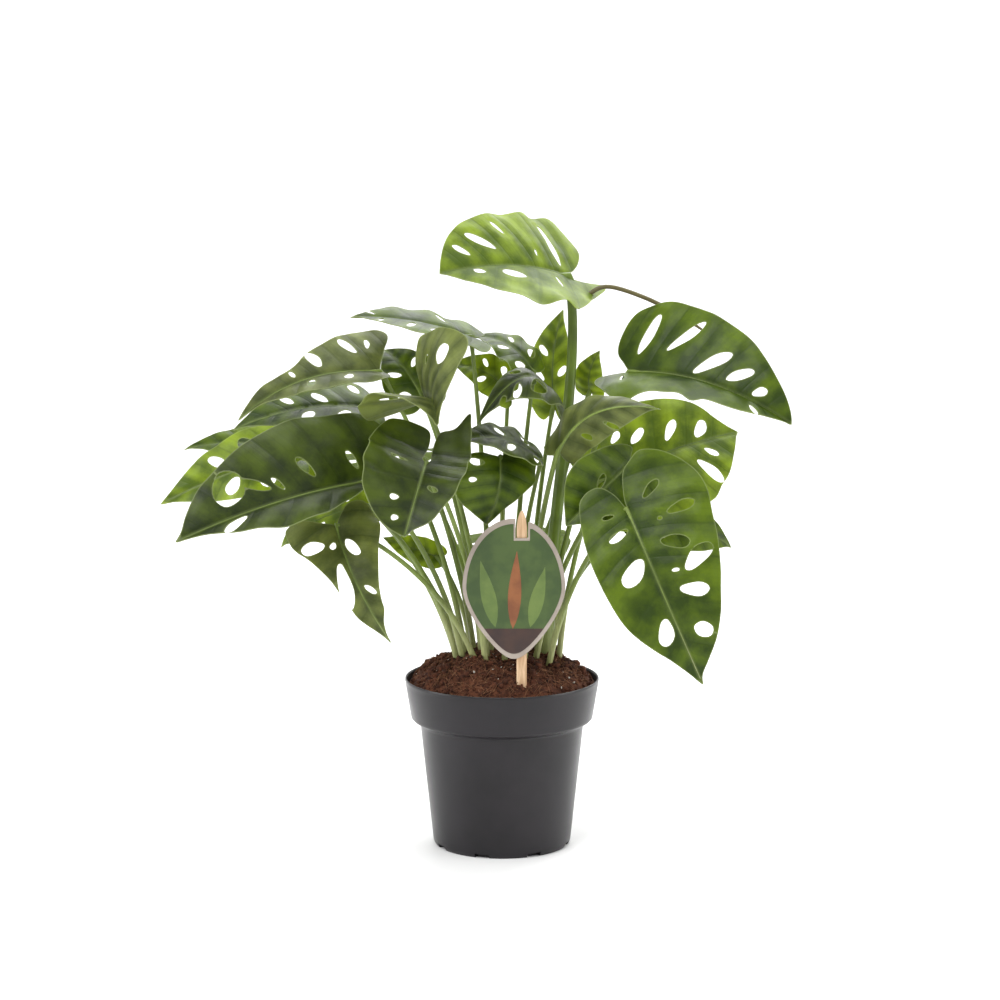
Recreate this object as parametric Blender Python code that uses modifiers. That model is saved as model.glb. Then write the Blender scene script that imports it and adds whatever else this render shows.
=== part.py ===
"""Swiss cheese vine (monstera adansonii) in a round 12 cm nursery pot, with a label card on a stick.

Sizes in the tables are millimetres; meshes are metres, +Z up. The origin is the middle of the pot's underside,
-Y is the front. Each leaf is one grown piece: a thin blade with its holes, and a petiole that stands in a plain
hole in the soil.
"""
import math
from dataclasses import dataclass

import bmesh
import bpy
from mathutils import Vector, geometry, noise

MM = 0.001
CLEARANCE = 0.3

POT_RIM_RADIUS = 60.0
POT_HEIGHT = 105.0
POT_STEPS = 40
POT_FLOOR = 4.6
NOTCH_COUNT = 8
NOTCH_SIZE = (8.0, 9.0, 5.0)

SOIL_STEPS = 36
SOIL_EDGE = 101.0
SOIL_HEAP = 19.0
SOIL_BUMP = 3.2
HOLE_SIDES = 8
FOOT_DEPTH = 14.0
FOOT_RISE = 9.0

BLADE_THICKNESS = 0.8
PETIOLE_RADIUS = 1.5
PETIOLE_BEVEL_RESOLUTION = 1
PETIOLE_STEPS = 6
FOOT_SWELL = 1.15
RIB_PLACES = (0.22, 0.46, 0.72)
INNER_SPOTS = ((0.2, 0.5), (0.42, 0.48), (0.66, 0.3), (0.3, 0.84))

STICK_WIDTH = 6.2
STICK_THICKNESS = 1.8
STICK_PLACE = (11.9, -46.0)
STICK_BOTTOM = 79.0
STICK_TOP = 217.0
STICK_POINT = 9.0

CARD_SIZE = (62.0, 86.0)
CARD_TAPER = 0.42
CARD_POINTS = 40
CARD_THICKNESS = 1.0
CARD_CENTRE = (7.2, 169.5)
CARD_SLOT_WIDTH = 7.6
CARD_SLOT_LOW = 200.5

# The usual outline of half a blade: place along the midrib (0 base, 1 tip), share of the half width.
# A negative place is the lobe behind the base, in shares of the lobe's length.
HALF_OUTLINE = (
    (-0.55, 0.14), (-1.0, 0.42), (-0.62, 0.74), (0.05, 0.93), (0.2, 1.0), (0.38, 0.97),
    (0.55, 0.82), (0.7, 0.6), (0.82, 0.36), (0.92, 0.14),
)

# Holes of a blade, each from its inner to its outer end: place along, share across, place along, share
# across, width as a share of the blade's length. Plus is the left half.
USUAL_HOLES = (
    (0.06, 0.3, 0.1, 0.78, 0.1),
    (0.26, 0.26, 0.34, 0.76, 0.1),
    (0.48, 0.22, 0.58, 0.62, 0.08),
    (0.08, -0.28, 0.13, -0.76, 0.1),
    (0.3, -0.26, 0.39, -0.74, 0.09),
    (0.52, -0.2, 0.61, -0.56, 0.07),
)
FEW_HOLES = (
    (0.12, 0.3, 0.18, 0.72, 0.11),
    (0.42, 0.24, 0.52, 0.62, 0.09),
    (0.16, -0.28, 0.22, -0.7, 0.11),
    (0.46, -0.22, 0.56, -0.56, 0.08),
)
HOLE_POINTS = 6

# The thin runner that leaves the crown leaf's stem and ends behind the leaf on the right: place, radius.
RUNNER_LEAF = "leaf_crown"
RUNNER = (
    ((46, 11, 333), 1.6), ((54, 11, 342), 1.5), ((66, 11, 346), 1.4), ((90, 13, 338), 1.4),
    ((112, 17, 326), 1.3), ((124, 19, 318), 0.6),
)


@dataclass
class Leaf:
    """One leaf. Lengths in mm, angles in degrees; face is where the upper side looks.

    An edge is a leaf's own outline of one half, with its lobe's places as shares of the blade's length.
    """
    name: str
    base: tuple
    tip: tuple
    face: tuple
    left: float
    right: float
    foot: tuple
    lobe_left: float = 0.14
    lobe_right: float = 0.14
    full_left: float = 1.0
    full_right: float = 1.0
    arch: float = 8.0
    sway: float = 0.0
    twist: float = 0.0
    fold_left: float = 10.0
    fold_right: float = 10.0
    curl_left: float = -18.0
    curl_right: float = -18.0
    radius: float = PETIOLE_RADIUS
    holes: tuple = USUAL_HOLES
    edge_left: tuple = ()
    edge_right: tuple = ()
    bow: tuple = (0.0, 0.0, 0.0)


LEAVES = (
    Leaf("leaf_crown", (40, 10, 353), (-37, -45, 360), (0, -0.75, 0.65), 33, 41, (28.5, 4.5),
         arch=9, curl_left=10, radius=3.4, bow=(15, 3, 0),
         edge_left=((-0.08, 0.04), (-0.2, 0.04), (-0.32, 0.08), (-0.3, 0.22), (-0.22, 0.38), (-0.07, 0.68),
                    (0.05, 0.98), (0.16, 1.15), (0.28, 1.24), (0.5, 1.16), (0.64, 0.92), (0.77, 0.64),
                    (0.87, 0.36), (0.95, 0.14)),
         edge_right=((-0.1, 0.16), (-0.17, 0.32), (-0.22, 0.52), (-0.21, 0.7), (-0.16, 0.9), (-0.06, 1.14),
                     (0.1, 1.12), (0.28, 1.04), (0.46, 1.0), (0.69, 0.85), (0.83, 0.65), (0.91, 0.45),
                     (0.97, 0.2)),
         holes=((0.04, -0.14, 0.07, -0.94, 0.07), (0.455, -0.57, 0.52, -0.8, 0.035),
                (0.57, -0.28, 0.75, -0.58, 0.06), (0.77, -0.2, 0.86, -0.41, 0.042),
                (0.25, -0.2, 0.25, -0.32, 0.02), (0.72, 0.18, 0.79, 0.08, 0.05),
                (0.45, 0.36, 0.6, 0.18, 0.08), (0.16, 0.18, 0.165, 0.52, 0.034))),
    Leaf("leaf_right_high", (77, -5, 296), (173, -50, 270), (0.2, -0.95, 0.25), 53, 28, (27, 12.5),
         arch=10, sway=6.5, fold_left=5, fold_right=56,
         edge_left=((-0.05, 0.1), (-0.11, 0.22), (-0.13, 0.4), (-0.125, 0.67), (-0.07, 0.83), (0.07, 0.9),
                    (0.2, 0.87), (0.4, 0.78), (0.6, 0.66), (0.72, 0.53), (0.86, 0.33), (0.925, 0.22),
                    (0.975, 0.1)),
         edge_right=((-0.08, 0.3), (-0.13, 0.55), (-0.1, 0.85), (0.02, 1.2), (0.12, 1.35), (0.22, 1.2),
                     (0.3, 1.0), (0.4, 0.82), (0.5, 0.95), (0.56, 0.8), (0.66, 0.75), (0.76, 0.6),
                     (0.88, 0.35), (0.95, 0.15)),
         holes=((0.02, 0.21, 0.055, 0.72, 0.068), (0.185, 0.27, 0.345, 0.67, 0.062),
                (0.385, 0.06, 0.56, 0.4, 0.066), (0.58, 0.1, 0.71, 0.31, 0.056),
                (0.745, 0.06, 0.815, 0.18, 0.045), (0.77, -0.25, 0.84, -0.45, 0.03),
                (0.0, -0.3, 0.03, -0.6, 0.025))),
    Leaf("leaf_front_right", (74, -68, 222), (119, -92, 120), (-0.1, -0.95, 0.25), 43, 36, (29, -16),
         arch=10,
         edge_left=((-0.06, 0.02), (-0.18, 0.14), (-0.23, 0.31), (-0.255, 0.5), (-0.2, 0.79), (-0.08, 1.05),
                    (0.06, 1.13), (0.2, 1.07), (0.31, 1.01), (0.47, 0.88), (0.58, 0.755), (0.68, 0.64),
                    (0.8, 0.44), (0.89, 0.21), (0.95, 0.05)),
         edge_right=((-0.09, 0.1), (-0.15, 0.25), (-0.165, 0.4), (-0.15, 0.58), (-0.1, 0.72), (0.07, 0.87),
                     (0.25, 0.9), (0.43, 0.87), (0.56, 0.79), (0.65, 0.67), (0.74, 0.5), (0.82, 0.32),
                     (0.91, 0.15), (0.97, 0.05)),
         holes=((-0.02, 0.27, -0.075, 0.55, 0.042), (0.1, 0.5, 0.1, 0.9, 0.05),
                (0.115, 0.34, 0.115, 0.4, 0.016), (0.225, 0.26, 0.29, 0.62, 0.066),
                (0.41, 0.42, 0.34, 0.87, 0.085), (0.39, 0.24, 0.4, 0.34, 0.018),
                (0.495, 0.24, 0.555, 0.61, 0.07), (0.7, 0.22, 0.765, 0.42, 0.08),
                (0.01, -0.25, 0.003, -0.44, 0.022), (0.105, -0.13, 0.13, -0.48, 0.042),
                (0.28, -0.09, 0.375, -0.53, 0.09), (0.61, -0.12, 0.74, -0.3, 0.08))),
    Leaf("leaf_front_right_inner", (78, -31, 244), (38, -55, 209), (0.1, -0.95, 0.3), 26, 28, (21, -8),
         arch=6, curl_right=10,
         edge_right=((-0.05, 0.1), (-0.13, 0.22), (-0.07, 0.42), (0.09, 0.62), (0.29, 0.76), (0.5, 0.85),
                     (0.65, 0.78), (0.76, 0.62), (0.87, 0.37), (0.95, 0.14)),
         holes=((0.5, -0.08, 0.34, -0.22, 0.07), (0.2, 0.3, 0.26, 0.7, 0.1))),
    Leaf("leaf_right_back", (59, 12, 225), (148, 45, 252), (-0.15, -0.85, 0.5), 46, 42, (35.5, 1.2),
         edge_left=((-0.05, 0.14), (-0.1, 0.42), (-0.06, 0.74), (0.1, 0.93), (0.3, 0.9), (0.51, 0.8),
                    (0.675, 0.7), (0.76, 0.6), (0.82, 0.46), (0.88, 0.26), (0.945, 0.09)),
         edge_right=((-0.08, 0.14), (-0.14, 0.42), (-0.09, 0.74), (0.05, 0.95), (0.2, 1.02), (0.4, 1.04),
                     (0.6, 0.98), (0.7, 0.8), (0.785, 0.65), (0.9, 0.31), (0.96, 0.1)),
         holes=((0.18, 0.4, 0.25, 0.52, 0.045), (0.29, 0.28, 0.4, 0.44, 0.055), (0.5, 0.15, 0.61, 0.39, 0.055),
                (0.7, 0.06, 0.8, 0.26, 0.07), (0.71, -0.15, 0.775, -0.33, 0.046),
                (0.63, -0.3, 0.72, -0.76, 0.075), (0.4, -0.3, 0.48, -0.72, 0.09),
                (0.15, -0.3, 0.2, -0.72, 0.09))),
    Leaf("leaf_right_low_back", (84, 10, 205), (144, 30, 181), (0.2, -0.7, 0.6), 20, 22, (27.5, 20),
         holes=FEW_HOLES),
    Leaf("leaf_centre_right", (34, -36, 252), (94, -61, 281), (-0.35, -0.93, 0.1), 19, 20, (14, -15),
         arch=9, sway=12, twist=-55, lobe_left=0.16, lobe_right=0.03, fold_left=-20, fold_right=-60,
         curl_right=10, holes=((0.5, -0.4, 0.6, -0.75, 0.05), (0.25, -0.4, 0.32, -0.75, 0.06))),
    Leaf("leaf_centre_arched", (38, -7, 263), (-16, -30, 266), (0, -0.3, 0.95), 28, 22, (13.5, -4),
         arch=33, curl_left=-45, curl_right=-45,
         edge_left=((0.03, 0.2), (0.12, 0.42), (0.25, 0.72), (0.4, 0.97), (0.55, 0.92), (0.7, 0.68),
                    (0.82, 0.4), (0.92, 0.15)),
         edge_right=((0.03, 0.12), (0.12, 0.28), (0.25, 0.66), (0.38, 0.92), (0.55, 0.82), (0.7, 0.6),
                     (0.82, 0.36), (0.92, 0.14)),
         holes=((0.42, 0.2, 0.52, 0.75, 0.17), (0.66, 0.2, 0.72, 0.62, 0.08), (0.8, 0.2, 0.84, 0.5, 0.06),
                (0.3, -0.28, 0.37, -0.7, 0.1), (0.56, -0.22, 0.62, -0.56, 0.08))),
    Leaf("leaf_behind_stem", (32, 42, 268), (38, 55, 328), (-0.4, -0.85, 0.3), 17, 14, (16, 22),
         holes=((0.25, 0.3, 0.33, 0.7, 0.08), (0.5, 0.2, 0.6, 0.55, 0.06), (0.3, -0.3, 0.4, -0.7, 0.07))),
    Leaf("leaf_young", (54, 19, 280), (60, 16, 307), (-0.3, -0.8, 0.3), 10, 11, (20.5, 15.5), holes=(),
         bow=(0, -6, 0)),
    Leaf("leaf_centre_flat", (20, 26, 292), (-19, 40, 312), (0, -0.2, 1), 22, 17, (6, 10),
         lobe_right=0.06, holes=FEW_HOLES),
    Leaf("leaf_centre_back", (4, 28, 280), (-32, 28, 297), (0, -0.7, 0.7), 16, 15, (-1.5, 16),
         holes=FEW_HOLES),
    Leaf("leaf_left_high", (-19, 8, 316), (-92, -8, 330), (0, -0.22, 0.97), 30, 24, (-6.5, 6), arch=4,
         holes=((0.8, -0.12, 0.87, -0.34, 0.035), (0.75, 0.15, 0.79, 0.38, 0.04),
                (0.3, 0.3, 0.38, 0.72, 0.07), (0.5, 0.28, 0.57, 0.62, 0.06), (0.2, -0.35, 0.27, -0.75, 0.06))),
    Leaf("leaf_left_upper", (-74, -10, 297), (-158, -45, 272), (-0.1, -0.7, 0.7), 28, 38, (-17, 8.5),
         fold_left=26, arch=5, sway=-9,
         edge_left=((-0.03, 0.3), (0.08, 0.55), (0.25, 0.65), (0.42, 0.6), (0.55, 0.56), (0.64, 0.48),
                    (0.73, 0.3), (0.82, 0.16), (0.92, 0.07)),
         edge_right=((-0.04, 0.2), (-0.1, 0.45), (-0.18, 0.78), (-0.12, 0.94), (0.0, 0.9), (0.145, 0.74),
                     (0.365, 0.5), (0.52, 0.28), (0.66, 0.22), (0.78, 0.2), (0.915, 0.08)),
         holes=((0.09, -0.36, 0.15, -0.67, 0.07), (0.35, -0.15, 0.39, -0.47, 0.08),
                (0.54, -0.09, 0.56, -0.22, 0.03), (0.0, -0.48, -0.03, -0.7, 0.03),
                (0.2, 0.2, 0.26, 0.45, 0.05), (0.45, 0.15, 0.5, 0.4, 0.05))),
    Leaf("leaf_left_under", (-80, 8, 272), (-163, -22, 263), (-0.1, -0.5, 0.85), 24, 25, (-22.5, 2.4),
         lobe_left=0.05, lobe_right=0.05,
         holes=((0.31, -0.12, 0.4, -0.45, 0.07), (0.05, -0.5, 0.09, -0.85, 0.07), (0.55, -0.2, 0.62, -0.5, 0.06),
                (0.2, 0.3, 0.28, 0.7, 0.09), (0.45, 0.25, 0.54, 0.6, 0.08))),
    Leaf("leaf_left_long", (-80, -50, 236), (-191, -102, 208), (0, -0.85, 0.5), 26, 49, (-24, -9),
         fold_left=28, arch=12,
         edge_left=((0.02, 0.16), (0.08, 0.36), (0.16, 0.52), (0.3, 0.74), (0.44, 0.79), (0.55, 0.76),
                    (0.74, 0.48), (0.87, 0.2), (0.95, 0.07)),
         edge_right=((-0.1, 0.1), (-0.19, 0.35), (-0.21, 0.65), (-0.12, 0.88), (0.0, 0.95), (0.17, 0.98),
                     (0.32, 0.97), (0.47, 0.89), (0.6, 0.76), (0.72, 0.62), (0.82, 0.475), (0.91, 0.25),
                     (0.96, 0.08)),
         holes=((0.725, -0.14, 0.65, -0.55, 0.15), (0.5, -0.17, 0.64, -0.4, 0.045),
                (0.66, 0.12, 0.79, 0.36, 0.045), (0.435, -0.12, 0.475, -0.3, 0.025),
                (0.265, -0.18, 0.32, -0.46, 0.045), (0.03, -0.17, 0.05, -0.43, 0.037))),
    Leaf("leaf_front_left", (-45, -62, 249), (-57, -104, 211), (0.1, -0.9, 0.55), 32, 37, (-10, -20),
         curl_left=25, curl_right=20,
         edge_left=((-0.04, 0.07), (-0.1, 0.06), (-0.3, 0.04), (-0.48, 0.1), (-0.56, 0.36), (-0.76, 0.56),
                    (-0.6, 0.66), (-0.4, 0.74), (-0.16, 0.82), (0.05, 0.82), (0.25, 0.79), (0.52, 0.7),
                    (0.735, 0.52), (0.83, 0.4), (0.92, 0.14)),
         edge_right=((-0.04, 0.07), (-0.1, 0.06), (-0.3, 0.03), (-0.46, 0.1), (-0.48, 0.38), (-0.43, 0.65),
                     (-0.32, 0.86), (-0.05, 1.0), (0.33, 1.02), (0.62, 0.95), (0.8, 0.78), (0.92, 0.55),
                     (0.98, 0.28)),
         holes=((0.42, 0.17, 0.48, 0.36, 0.06), (0.84, -0.18, 0.88, -0.29, 0.05),
                (0.64, -0.26, 0.68, -0.4, 0.06), (0.12, -0.3, 0.16, -0.6, 0.05))),
    Leaf("leaf_folded_left", (-46, -36, 282), (-38, -88, 275), (0, -0.05, 1), 47, 42, (-9, -10.5),
         lobe_left=0.2, twist=-45, fold_left=105, fold_right=-8, curl_left=-25,
         edge_left=((-0.06, 0.25), (-0.1, 0.52), (-0.03, 0.82), (0.1, 0.88), (0.33, 0.93), (0.58, 0.96),
                    (0.68, 0.94), (0.73, 0.82), (0.76, 0.6), (0.8, 0.42), (0.87, 0.18), (0.95, 0.06)),
         holes=((0.42, 0.46, 0.48, 0.74, 0.19), (0.15, 0.45, 0.16, 0.57, 0.05), (0.25, -0.35, 0.32, -0.72, 0.09),
                (0.5, -0.3, 0.58, -0.6, 0.08))),
    Leaf("leaf_folded_back", (-48, 8, 276), (-73, 28, 306), (0.1, -0.75, 0.6), 20, 19, (-12.5, -1.5),
         lobe_left=0.08, holes=FEW_HOLES),
    Leaf("leaf_left_far", (-120, 8, 246), (-209, -10, 215), (0.1, -0.8, 0.55), 22, 24, (-28.5, 4)),
    Leaf("leaf_left_far_back", (-122, 40, 236), (-200, 52, 240), (-0.2, -0.4, 0.9), 20, 20, (-25, 15),
         holes=FEW_HOLES),
    Leaf("leaf_low_left", (-100, -38, 207), (-66, -62, 139), (0.1, -0.9, 0.4), 21, 29, (-17, -16),
         sway=-5,
         edge_left=((-0.06, 0.2), (-0.12, 0.5), (-0.1, 0.9), (0.0, 1.15), (0.14, 1.25), (0.3, 1.0),
                    (0.42, 0.8), (0.565, 0.57), (0.685, 0.42), (0.75, 0.36), (0.84, 0.15), (0.92, 0.04)),
         edge_right=((-0.06, 0.3), (-0.14, 0.7), (-0.12, 1.08), (0.0, 1.06), (0.09, 0.95), (0.18, 0.76),
                     (0.325, 0.56), (0.43, 0.46), (0.565, 0.4), (0.64, 0.36), (0.725, 0.33), (0.805, 0.24),
                     (0.92, 0.07)),
         holes=((0.3, -0.16, 0.66, -0.35, 0.11), (0.12, -0.36, 0.09, -0.86, 0.1), (0.13, -0.13, 0.17, -0.24, 0.05),
                (0.14, 0.14, 0.295, 0.39, 0.075), (0.53, 0.17, 0.62, 0.38, 0.04))),
    Leaf("leaf_low_left_back", (-82, -10, 214), (-137, 4, 186), (0.1, -0.6, 0.75), 20, 20, (-28, -3),
         holes=FEW_HOLES),
    Leaf("leaf_low_small", (-40, 13, 178), (-74, 14, 190), (0, -1, 0.15), 9, 9, (-19, 15.5), arch=2,
         holes=()),
    Leaf("leaf_centre_low", (-1, -27, 247), (-9, -37, 206), (0, -0.6, -0.8), 24, 24, (2, -14.5),
         edge_left=((-0.08, 0.2), (-0.12, 0.5), (-0.09, 0.85), (0.0, 0.98), (0.12, 0.99), (0.27, 0.93),
                    (0.4, 0.75), (0.55, 0.52), (0.72, 0.27), (0.88, 0.1)),
         edge_right=((0.0, 0.3), (0.01, 0.6), (0.06, 0.85), (0.2, 1.0), (0.37, 1.08), (0.58, 1.15),
                     (0.74, 1.0), (0.86, 0.6), (0.94, 0.25)),
         holes=((0.15, -0.5, 0.17, -0.9, 0.1), (0.4, -0.66, 0.44, -0.88, 0.07))),
    Leaf("leaf_centre_brown", (24, -16, 243), (-28, -38, 259), (0.1, -0.35, 0.93), 24, 19, (5.5, -5),
         lobe_right=0.05, full_right=0.8,
         edge_left=((0.02, 0.3), (0.08, 0.6), (0.2, 0.85), (0.38, 0.97), (0.55, 0.85), (0.7, 0.66),
                    (0.82, 0.44), (0.92, 0.2)),
         holes=FEW_HOLES),
    Leaf("leaf_back_left", (-60, 68, 236), (-106, 122, 196), (-0.4, 0.7, 0.6), 38, 36, (-12, 27)),
    Leaf("leaf_back_right", (52, 72, 236), (108, 122, 188), (0.5, 0.65, 0.6), 38, 36, (10.5, 29)),
    Leaf("leaf_back_middle", (4, 84, 178), (16, 142, 126), (0, 0.8, 0.6), 36, 38, (-0.5, 29.5),
         holes=FEW_HOLES),
)


def clear_scene():
    """Empty the scene and make the two collections, for the pieces and for the cutters."""
    for thing in list(bpy.data.objects):
        bpy.data.objects.remove(thing, do_unlink=True)
    pieces = bpy.data.collections.new("monstera_adansonii")
    cutters = bpy.data.collections.new("cutters")
    bpy.context.scene.collection.children.link(pieces)
    bpy.context.scene.collection.children.link(cutters)
    return pieces, cutters


def principled(name, colour, roughness, metallic=0.0):
    """One plain Principled material."""
    material = bpy.data.materials.new(name)
    material.use_nodes = True
    shader = material.node_tree.nodes["Principled BSDF"]
    shader.inputs["Base Color"].default_value = (*colour, 1.0)
    shader.inputs["Roughness"].default_value = roughness
    shader.inputs["Metallic"].default_value = metallic
    return material


def add_object(name, mesh, collection, material=None):
    """Link a mesh as an object, with its material."""
    thing = bpy.data.objects.new(name, mesh)
    if material:
        mesh.materials.clear()
        mesh.materials.append(material)
    collection.objects.link(thing)
    return thing


def evaluated_mesh(thing):
    """The mesh of an object with its modifiers or curve bevel applied, welded."""
    graph = bpy.context.evaluated_depsgraph_get()
    graph.update()
    mesh = bpy.data.meshes.new_from_object(thing.evaluated_get(graph))
    work = bmesh.new()
    work.from_mesh(mesh)
    bmesh.ops.remove_doubles(work, verts=work.verts, dist=0.00001)
    work.to_mesh(mesh)
    work.free()
    return mesh


def bake(thing):
    """Replace an object by a plain mesh object of its evaluated shape."""
    name = thing.name
    collection = thing.users_collection[0]
    matrix = thing.matrix_world.copy()
    mesh = evaluated_mesh(thing)
    bpy.data.objects.remove(thing, do_unlink=True)
    mesh.name = name
    plain = add_object(name, mesh, collection)
    plain.matrix_world = matrix
    return plain


def hide_cutter(thing):
    """Mark a cutter, so that it is neither drawn nor kept."""
    thing.hide_render = True
    thing.display_type = "WIRE"


def turned(name, profile, steps, collection, material):
    """A solid turned round Z from a profile of radius and height, open at the axis."""
    mesh = bpy.data.meshes.new(name)
    points = [(radius * MM, 0.0, height * MM) for radius, height in profile]
    edges = [(i, i + 1) for i in range(len(points) - 1)]
    mesh.from_pydata(points, edges, [])
    thing = add_object(name, mesh, collection, material)
    screw = thing.modifiers.new("turn", "SCREW")
    screw.steps = steps
    screw.render_steps = steps
    screw.use_merge_vertices = True
    screw.merge_threshold = 0.00001
    return thing


def pot(collection, cutters):
    """The thin-walled pot: flared rim band, shoulder, tapered body, foot ring and drainage notches."""
    foot = 42.6
    profile = (
        (0, POT_FLOOR), (41.0, POT_FLOOR), (49.2, 76.6), (54.9, 80.4), (58.7, 104.2), (59.3, POT_HEIGHT),
        (POT_RIM_RADIUS, 104.5), (POT_RIM_RADIUS - 0.2, 101.0), (56.4, 81.0), (55.6, 79.2), (50.8, 76.2),
        (50.3, 75.0), (foot + 0.3, 4.0), (foot - 0.3, 1.2), (foot - 1.4, 0.0), (36.5, 0.0), (35.5, 2.8),
        (14.5, 2.8), (13.5, 0.0), (0, 0),
    )
    thing = turned("pot", profile, POT_STEPS, collection, principled("pot_plastic", (0.03, 0.03, 0.032), 0.42))
    thing = bake(thing)
    for index in range(NOTCH_COUNT):
        turn = math.tau * (index + 0.62) / NOTCH_COUNT
        bpy.ops.mesh.primitive_cube_add(size=1)
        notch = bpy.context.object
        notch.name = f"notch_{index + 1}"
        notch.scale = [side * MM for side in NOTCH_SIZE]
        notch.rotation_euler.z = turn
        notch.location = (math.cos(turn) * foot * MM, math.sin(turn) * foot * MM, 0.2 * MM)
        bpy.context.collection.objects.unlink(notch)
        cutters.objects.link(notch)
        hide_cutter(notch)
        cut = thing.modifiers.new(notch.name, "BOOLEAN")
        cut.operation = "DIFFERENCE"
        cut.object = notch
    return thing


def soil_height(x, y):
    """Height of the soil's top at a place in mm: a heap with lumps that die out at the pot's wall."""
    share = min(math.hypot(x, y) / 57.6, 1.0)
    heap = SOIL_EDGE + SOIL_HEAP * (1 - share ** 3.2)
    lumps = noise.noise(Vector((x / 15, y / 15, 0.7))) + 0.5 * noise.noise(Vector((x / 6, y / 6, 3.1)))
    return heap + SOIL_BUMP * lumps * (1 - share ** 6)


def soil(collection):
    """The heaped soil that fills the pot; its top is raised by a formula."""
    rings = 9
    edge = 57.7
    side = [(0, POT_FLOOR + CLEARANCE), (40.5, POT_FLOOR + CLEARANCE), (48.7, 76.9), (54.3, 80.8)]
    top = [(edge * (1 - i / rings), SOIL_EDGE) for i in range(rings + 1)]
    profile = list(reversed(side + top))
    material = principled("coir_soil", (0.13, 0.065, 0.04), 0.95)
    thing = bake(turned("soil", profile, SOIL_STEPS, collection, material))
    for vertex in thing.data.vertices:
        if vertex.co.z > (SOIL_EDGE - 1) * MM:
            vertex.co.z = soil_height(vertex.co.x / MM, vertex.co.y / MM) * MM
    return thing


def blade_axes(leaf):
    """The blade's straight frame: base, run to the tip, left and up directions."""
    base = Vector(leaf.base)
    run = Vector(leaf.tip) - base
    along = run.normalized()
    face = Vector(leaf.face)
    up = (face - along * face.dot(along)).normalized()
    return base, run, up.cross(along), up


def bent(distance, fold, curl, width):
    """How far across and up a point lies that is this far from the midrib on a folded, curled half."""
    start = math.radians(fold)
    rate = math.radians(curl) / width
    if abs(rate) < 1e-6:
        return distance * math.cos(start), distance * math.sin(start)
    end = start + rate * distance
    return (math.sin(end) - math.sin(start)) / rate, (math.cos(start) - math.cos(end)) / rate


def bulge(place):
    """How far the midrib bows at a place: nothing at the base and tip; the lobes behind the base level off."""
    if place > 0:
        return 4 * place * (1 - place)
    return 4 * place + 6 * place ** 2 if place > -1 / 3 else -2 / 3


def blade_point(leaf, place, across):
    """A point of the blade in mm, from its place along the midrib and its share across."""
    base, run, left, up = blade_axes(leaf)
    turn = math.radians(leaf.twist) * place
    side_way = left * math.cos(turn) + up * math.sin(turn)
    up_way = up * math.cos(turn) - left * math.sin(turn)
    middle = base + run * place + (up * leaf.arch + left * leaf.sway) * bulge(place)
    if across >= 0:
        out, rise = bent(across * leaf.left, leaf.fold_left, leaf.curl_left, leaf.left)
        return middle + side_way * out + up_way * rise
    out, rise = bent(-across * leaf.right, leaf.fold_right, leaf.curl_right, leaf.right)
    return middle - side_way * out + up_way * rise


def half_outline(edge, lobe, full, side):
    """The outline points of one half, from the base to the tip; full under 1 makes the tip's part blunter."""
    if edge:
        return [(place, side * share) for place, share in edge]
    points = [(place * lobe, side * share) for place, share in HALF_OUTLINE if place < 0]
    points += [(place, side * share ** full) for place, share in HALF_OUTLINE if place > 0]
    return points


def hole_outline(hole, leaf, length):
    """The points round one oval hole, in places along and shares across."""
    width = leaf.left if hole[1] > 0 else leaf.right
    start = Vector((hole[0] * length, hole[1] * width))
    end = Vector((hole[2] * length, hole[3] * width))
    middle = (start + end) / 2
    long_way = (end - start) / 2
    short_way = Vector((-long_way.y, long_way.x)).normalized() * (hole[4] * length / 2)
    points = []
    for index in range(HOLE_POINTS):
        turn = math.tau * index / HOLE_POINTS
        spot = middle + long_way * math.cos(turn) + short_way * math.sin(turn)
        points.append((spot.x / length, spot.y / width))
    return points


def inside(point, loop):
    """Whether a flat point lies inside a loop."""
    x, y = point
    odd = False
    for (x0, y0), (x1, y1) in zip(loop, loop[1:] + loop[:1]):
        if (y0 > y) != (y1 > y) and x < (x1 - x0) * (y - y0) / (y1 - y0) + x0:
            odd = not odd
    return odd


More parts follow.
